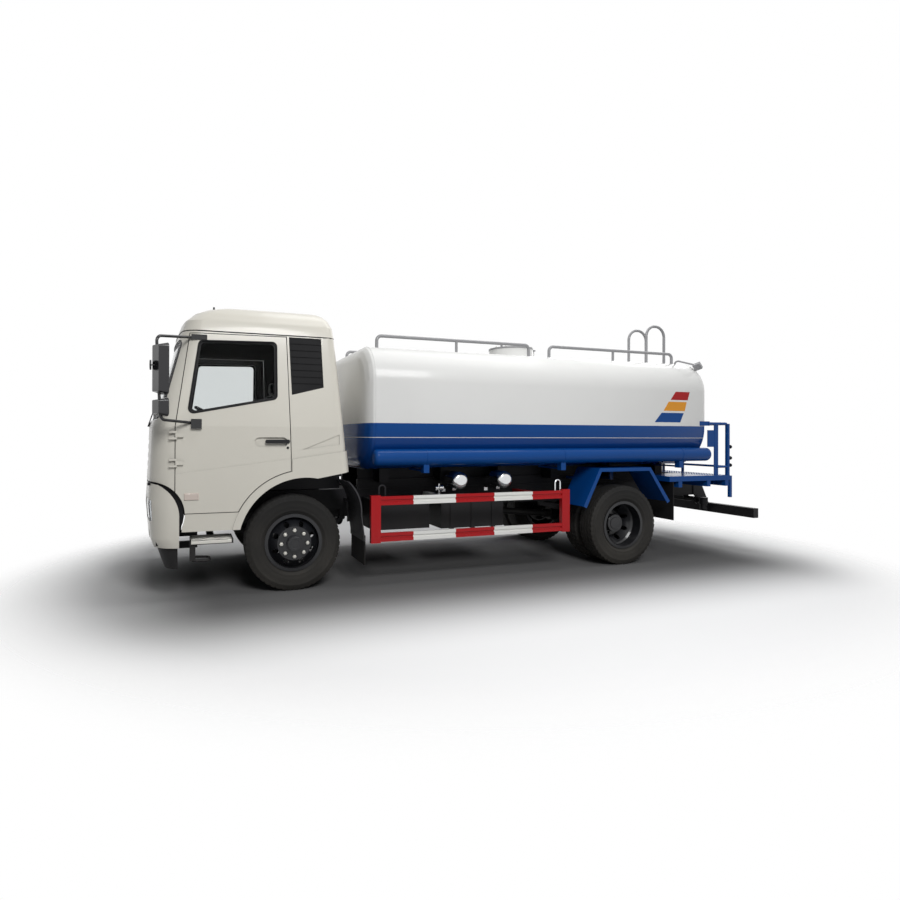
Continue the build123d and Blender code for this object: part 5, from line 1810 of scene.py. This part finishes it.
@dataclass
class Frame(Kit):
    """Finishes of the frame's own nodes."""

    tank_span: Flat = (1.2, 2.8)
    line_low: float = 1.615
    line_high: float = 1.624
    band_top: float = 1.78
    lamp_half: float = 1.2
    lamp_amber: float = 0.97
    lamp_red: float = 0.84
    guard_edges: tuple[float, ...] = (-2.841, -2.329, -1.827, -1.319)
    guard_margin: float = 2.0
    curved: tuple[str, ...] = ("cab_roof", "front_bumper", "tank", "cab_front")
    weld: float = 0.00005
    crease: float = 24.0

    def dress(self) -> None:
        """Gives every node its finish."""
        plain: dict[Finish, tuple[str, ...]] = {
            IVORY: (
                "cab_front", "cab_front_panel", "cab_side_panels", "cab_roof", "cab_back_wall",
                "front_bumper", "door_left", "door_right",
            ),
            CAB_INNER: ("cab_floor",),
            BLACK_PLASTIC: (
                "dashboard", "steering_wheel", "cab_steps", "battery_box", "front_beam", "wipers",
                "door_handle_left", "door_handle_right",
            ),
            MIRROR_SHELL: ("mirror_left", "mirror_right"),
            GUARD_PLASTIC: ("front_mudguards",),
            SEAT_CLOTH: ("seats",),
            WINDOW: ("windscreen", "door_glass_left", "door_glass_right"),
            CLEAR_LENS: ("front_lamps",),
            CHASSIS_BLACK: (
                "chassis_frame", "axles", "leaf_springs", "knuckle_left", "knuckle_right", "tie_rod",
                # tank_subframe is black as painted shade: it stands in the dark under the tank.
                "rear_underrun_bar", "water_pipes", "exhaust", "tank_subframe",
            ),
            WHEEL_BLACK: ("front_rim_left", "front_rim_right", "rear_rims_left", "rear_rims_right"),
            IRON: ("drivetrain",),
            BLUE: ("hose_tubes", "rear_platform", "platform_railing", "rear_fenders"),
            RAIL_GREY: ("tank_handrails", "rear_ladder", "manhole_lid", "work_lamp"),
            SILVER: ("air_reservoirs", "fuel_tank"),
            TYRE: ("front_tyre_left", "front_tyre_right", "rear_tyres_left", "rear_tyres_right"),
            FLAP: ("mud_flaps", "side_louvres"),
        }
        for finish, nodes in plain.items():
            for node in nodes:
                self.bench.dress_node(node, self.bench.paint.of(finish))
        self.bench.dress_node("tank", self.tank_paint())
        self.bench.dress_node("rear_lamps", self._lamp_lenses())
        self.bench.dress_node("side_guards", self._guard_paint())
        skin = smooth_skin_group(self.weld, math.radians(self.crease))
        for node in self.curved:
            self.bench.smooth_node(node, skin)

    def tank_paint(self) -> Material:
        """Gives the tank's white paint with its blue band and line; below the line the blue is darker, as
        painted shade of the barrel's lower curve.

        Returns:
            The material.
        """
        bands = [
            (self.tank_span[0], SHADED_LOW_BLUE), (self.line_low, WHITE), (self.line_high, BLUE.colour),
            (self.band_top, WHITE),
        ]
        return self.bench.paint.banded("white_and_blue_tank_paint", "Z", self.tank_span, bands, BLUE)

    def _lamp_lenses(self) -> Material:
        """Gives the tail lamps' lenses: amber outside, then red, then white.

        Returns:
            The material.
        """
        half, amber, red = self.lamp_half, self.lamp_amber, self.lamp_red
        bands = [
            (-half, LENS_AMBER), (-amber, RED_LENS.colour), (-red, LENS_WHITE), (red, RED_LENS.colour),
            (amber, LENS_AMBER),
        ]
        return self.bench.paint.banded("tail_lamp_lenses", "Y", (-half, half), bands, RED_LENS)

    def _guard_paint(self) -> Material:
        """Gives the side guards' bands of red and white.

        Returns:
            The material.
        """
        edges = [self.bench.axle_x + x for x in self.guard_edges]
        span = (edges[0] - self.guard_margin, edges[-1] + self.guard_margin)
        bands = [(span[0], GUARD_RED)]
        for index, edge in enumerate(edges):
            bands.append((edge, GUARD_RED if index % 2 else GUARD_WHITE))
        return self.bench.paint.banded("red_and_white_guard_paint", "X", span, bands, STRIPE_RED)


def main() -> None:
    """Builds the looks in order."""
    logging.basicConfig(level=logging.INFO, format="%(message)s")
    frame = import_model()
    low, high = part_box("front_tyre_left")
    bench = Bench(Paintshop(ShaderGroups()), frame, (low[0] + high[0]) / 2)
    finishes = Frame(bench)
    finishes.dress()
    Tyres(bench).fit()
    Wheels(bench).fit()
    CabTrim(bench).fit()
    Lamps(bench).fit()
    Seats(bench).fit()
    TankTrim(bench, finishes.tank_paint()).fit()
    ShadePlates(bench).fit()
    SideGear(bench).fit()
    studio = Studio()
    studio.floor()
    studio.light()
    studio.camera()
    bpy.context.scene.view_settings.view_transform = "Standard"


if __name__ == "__main__":
    main()
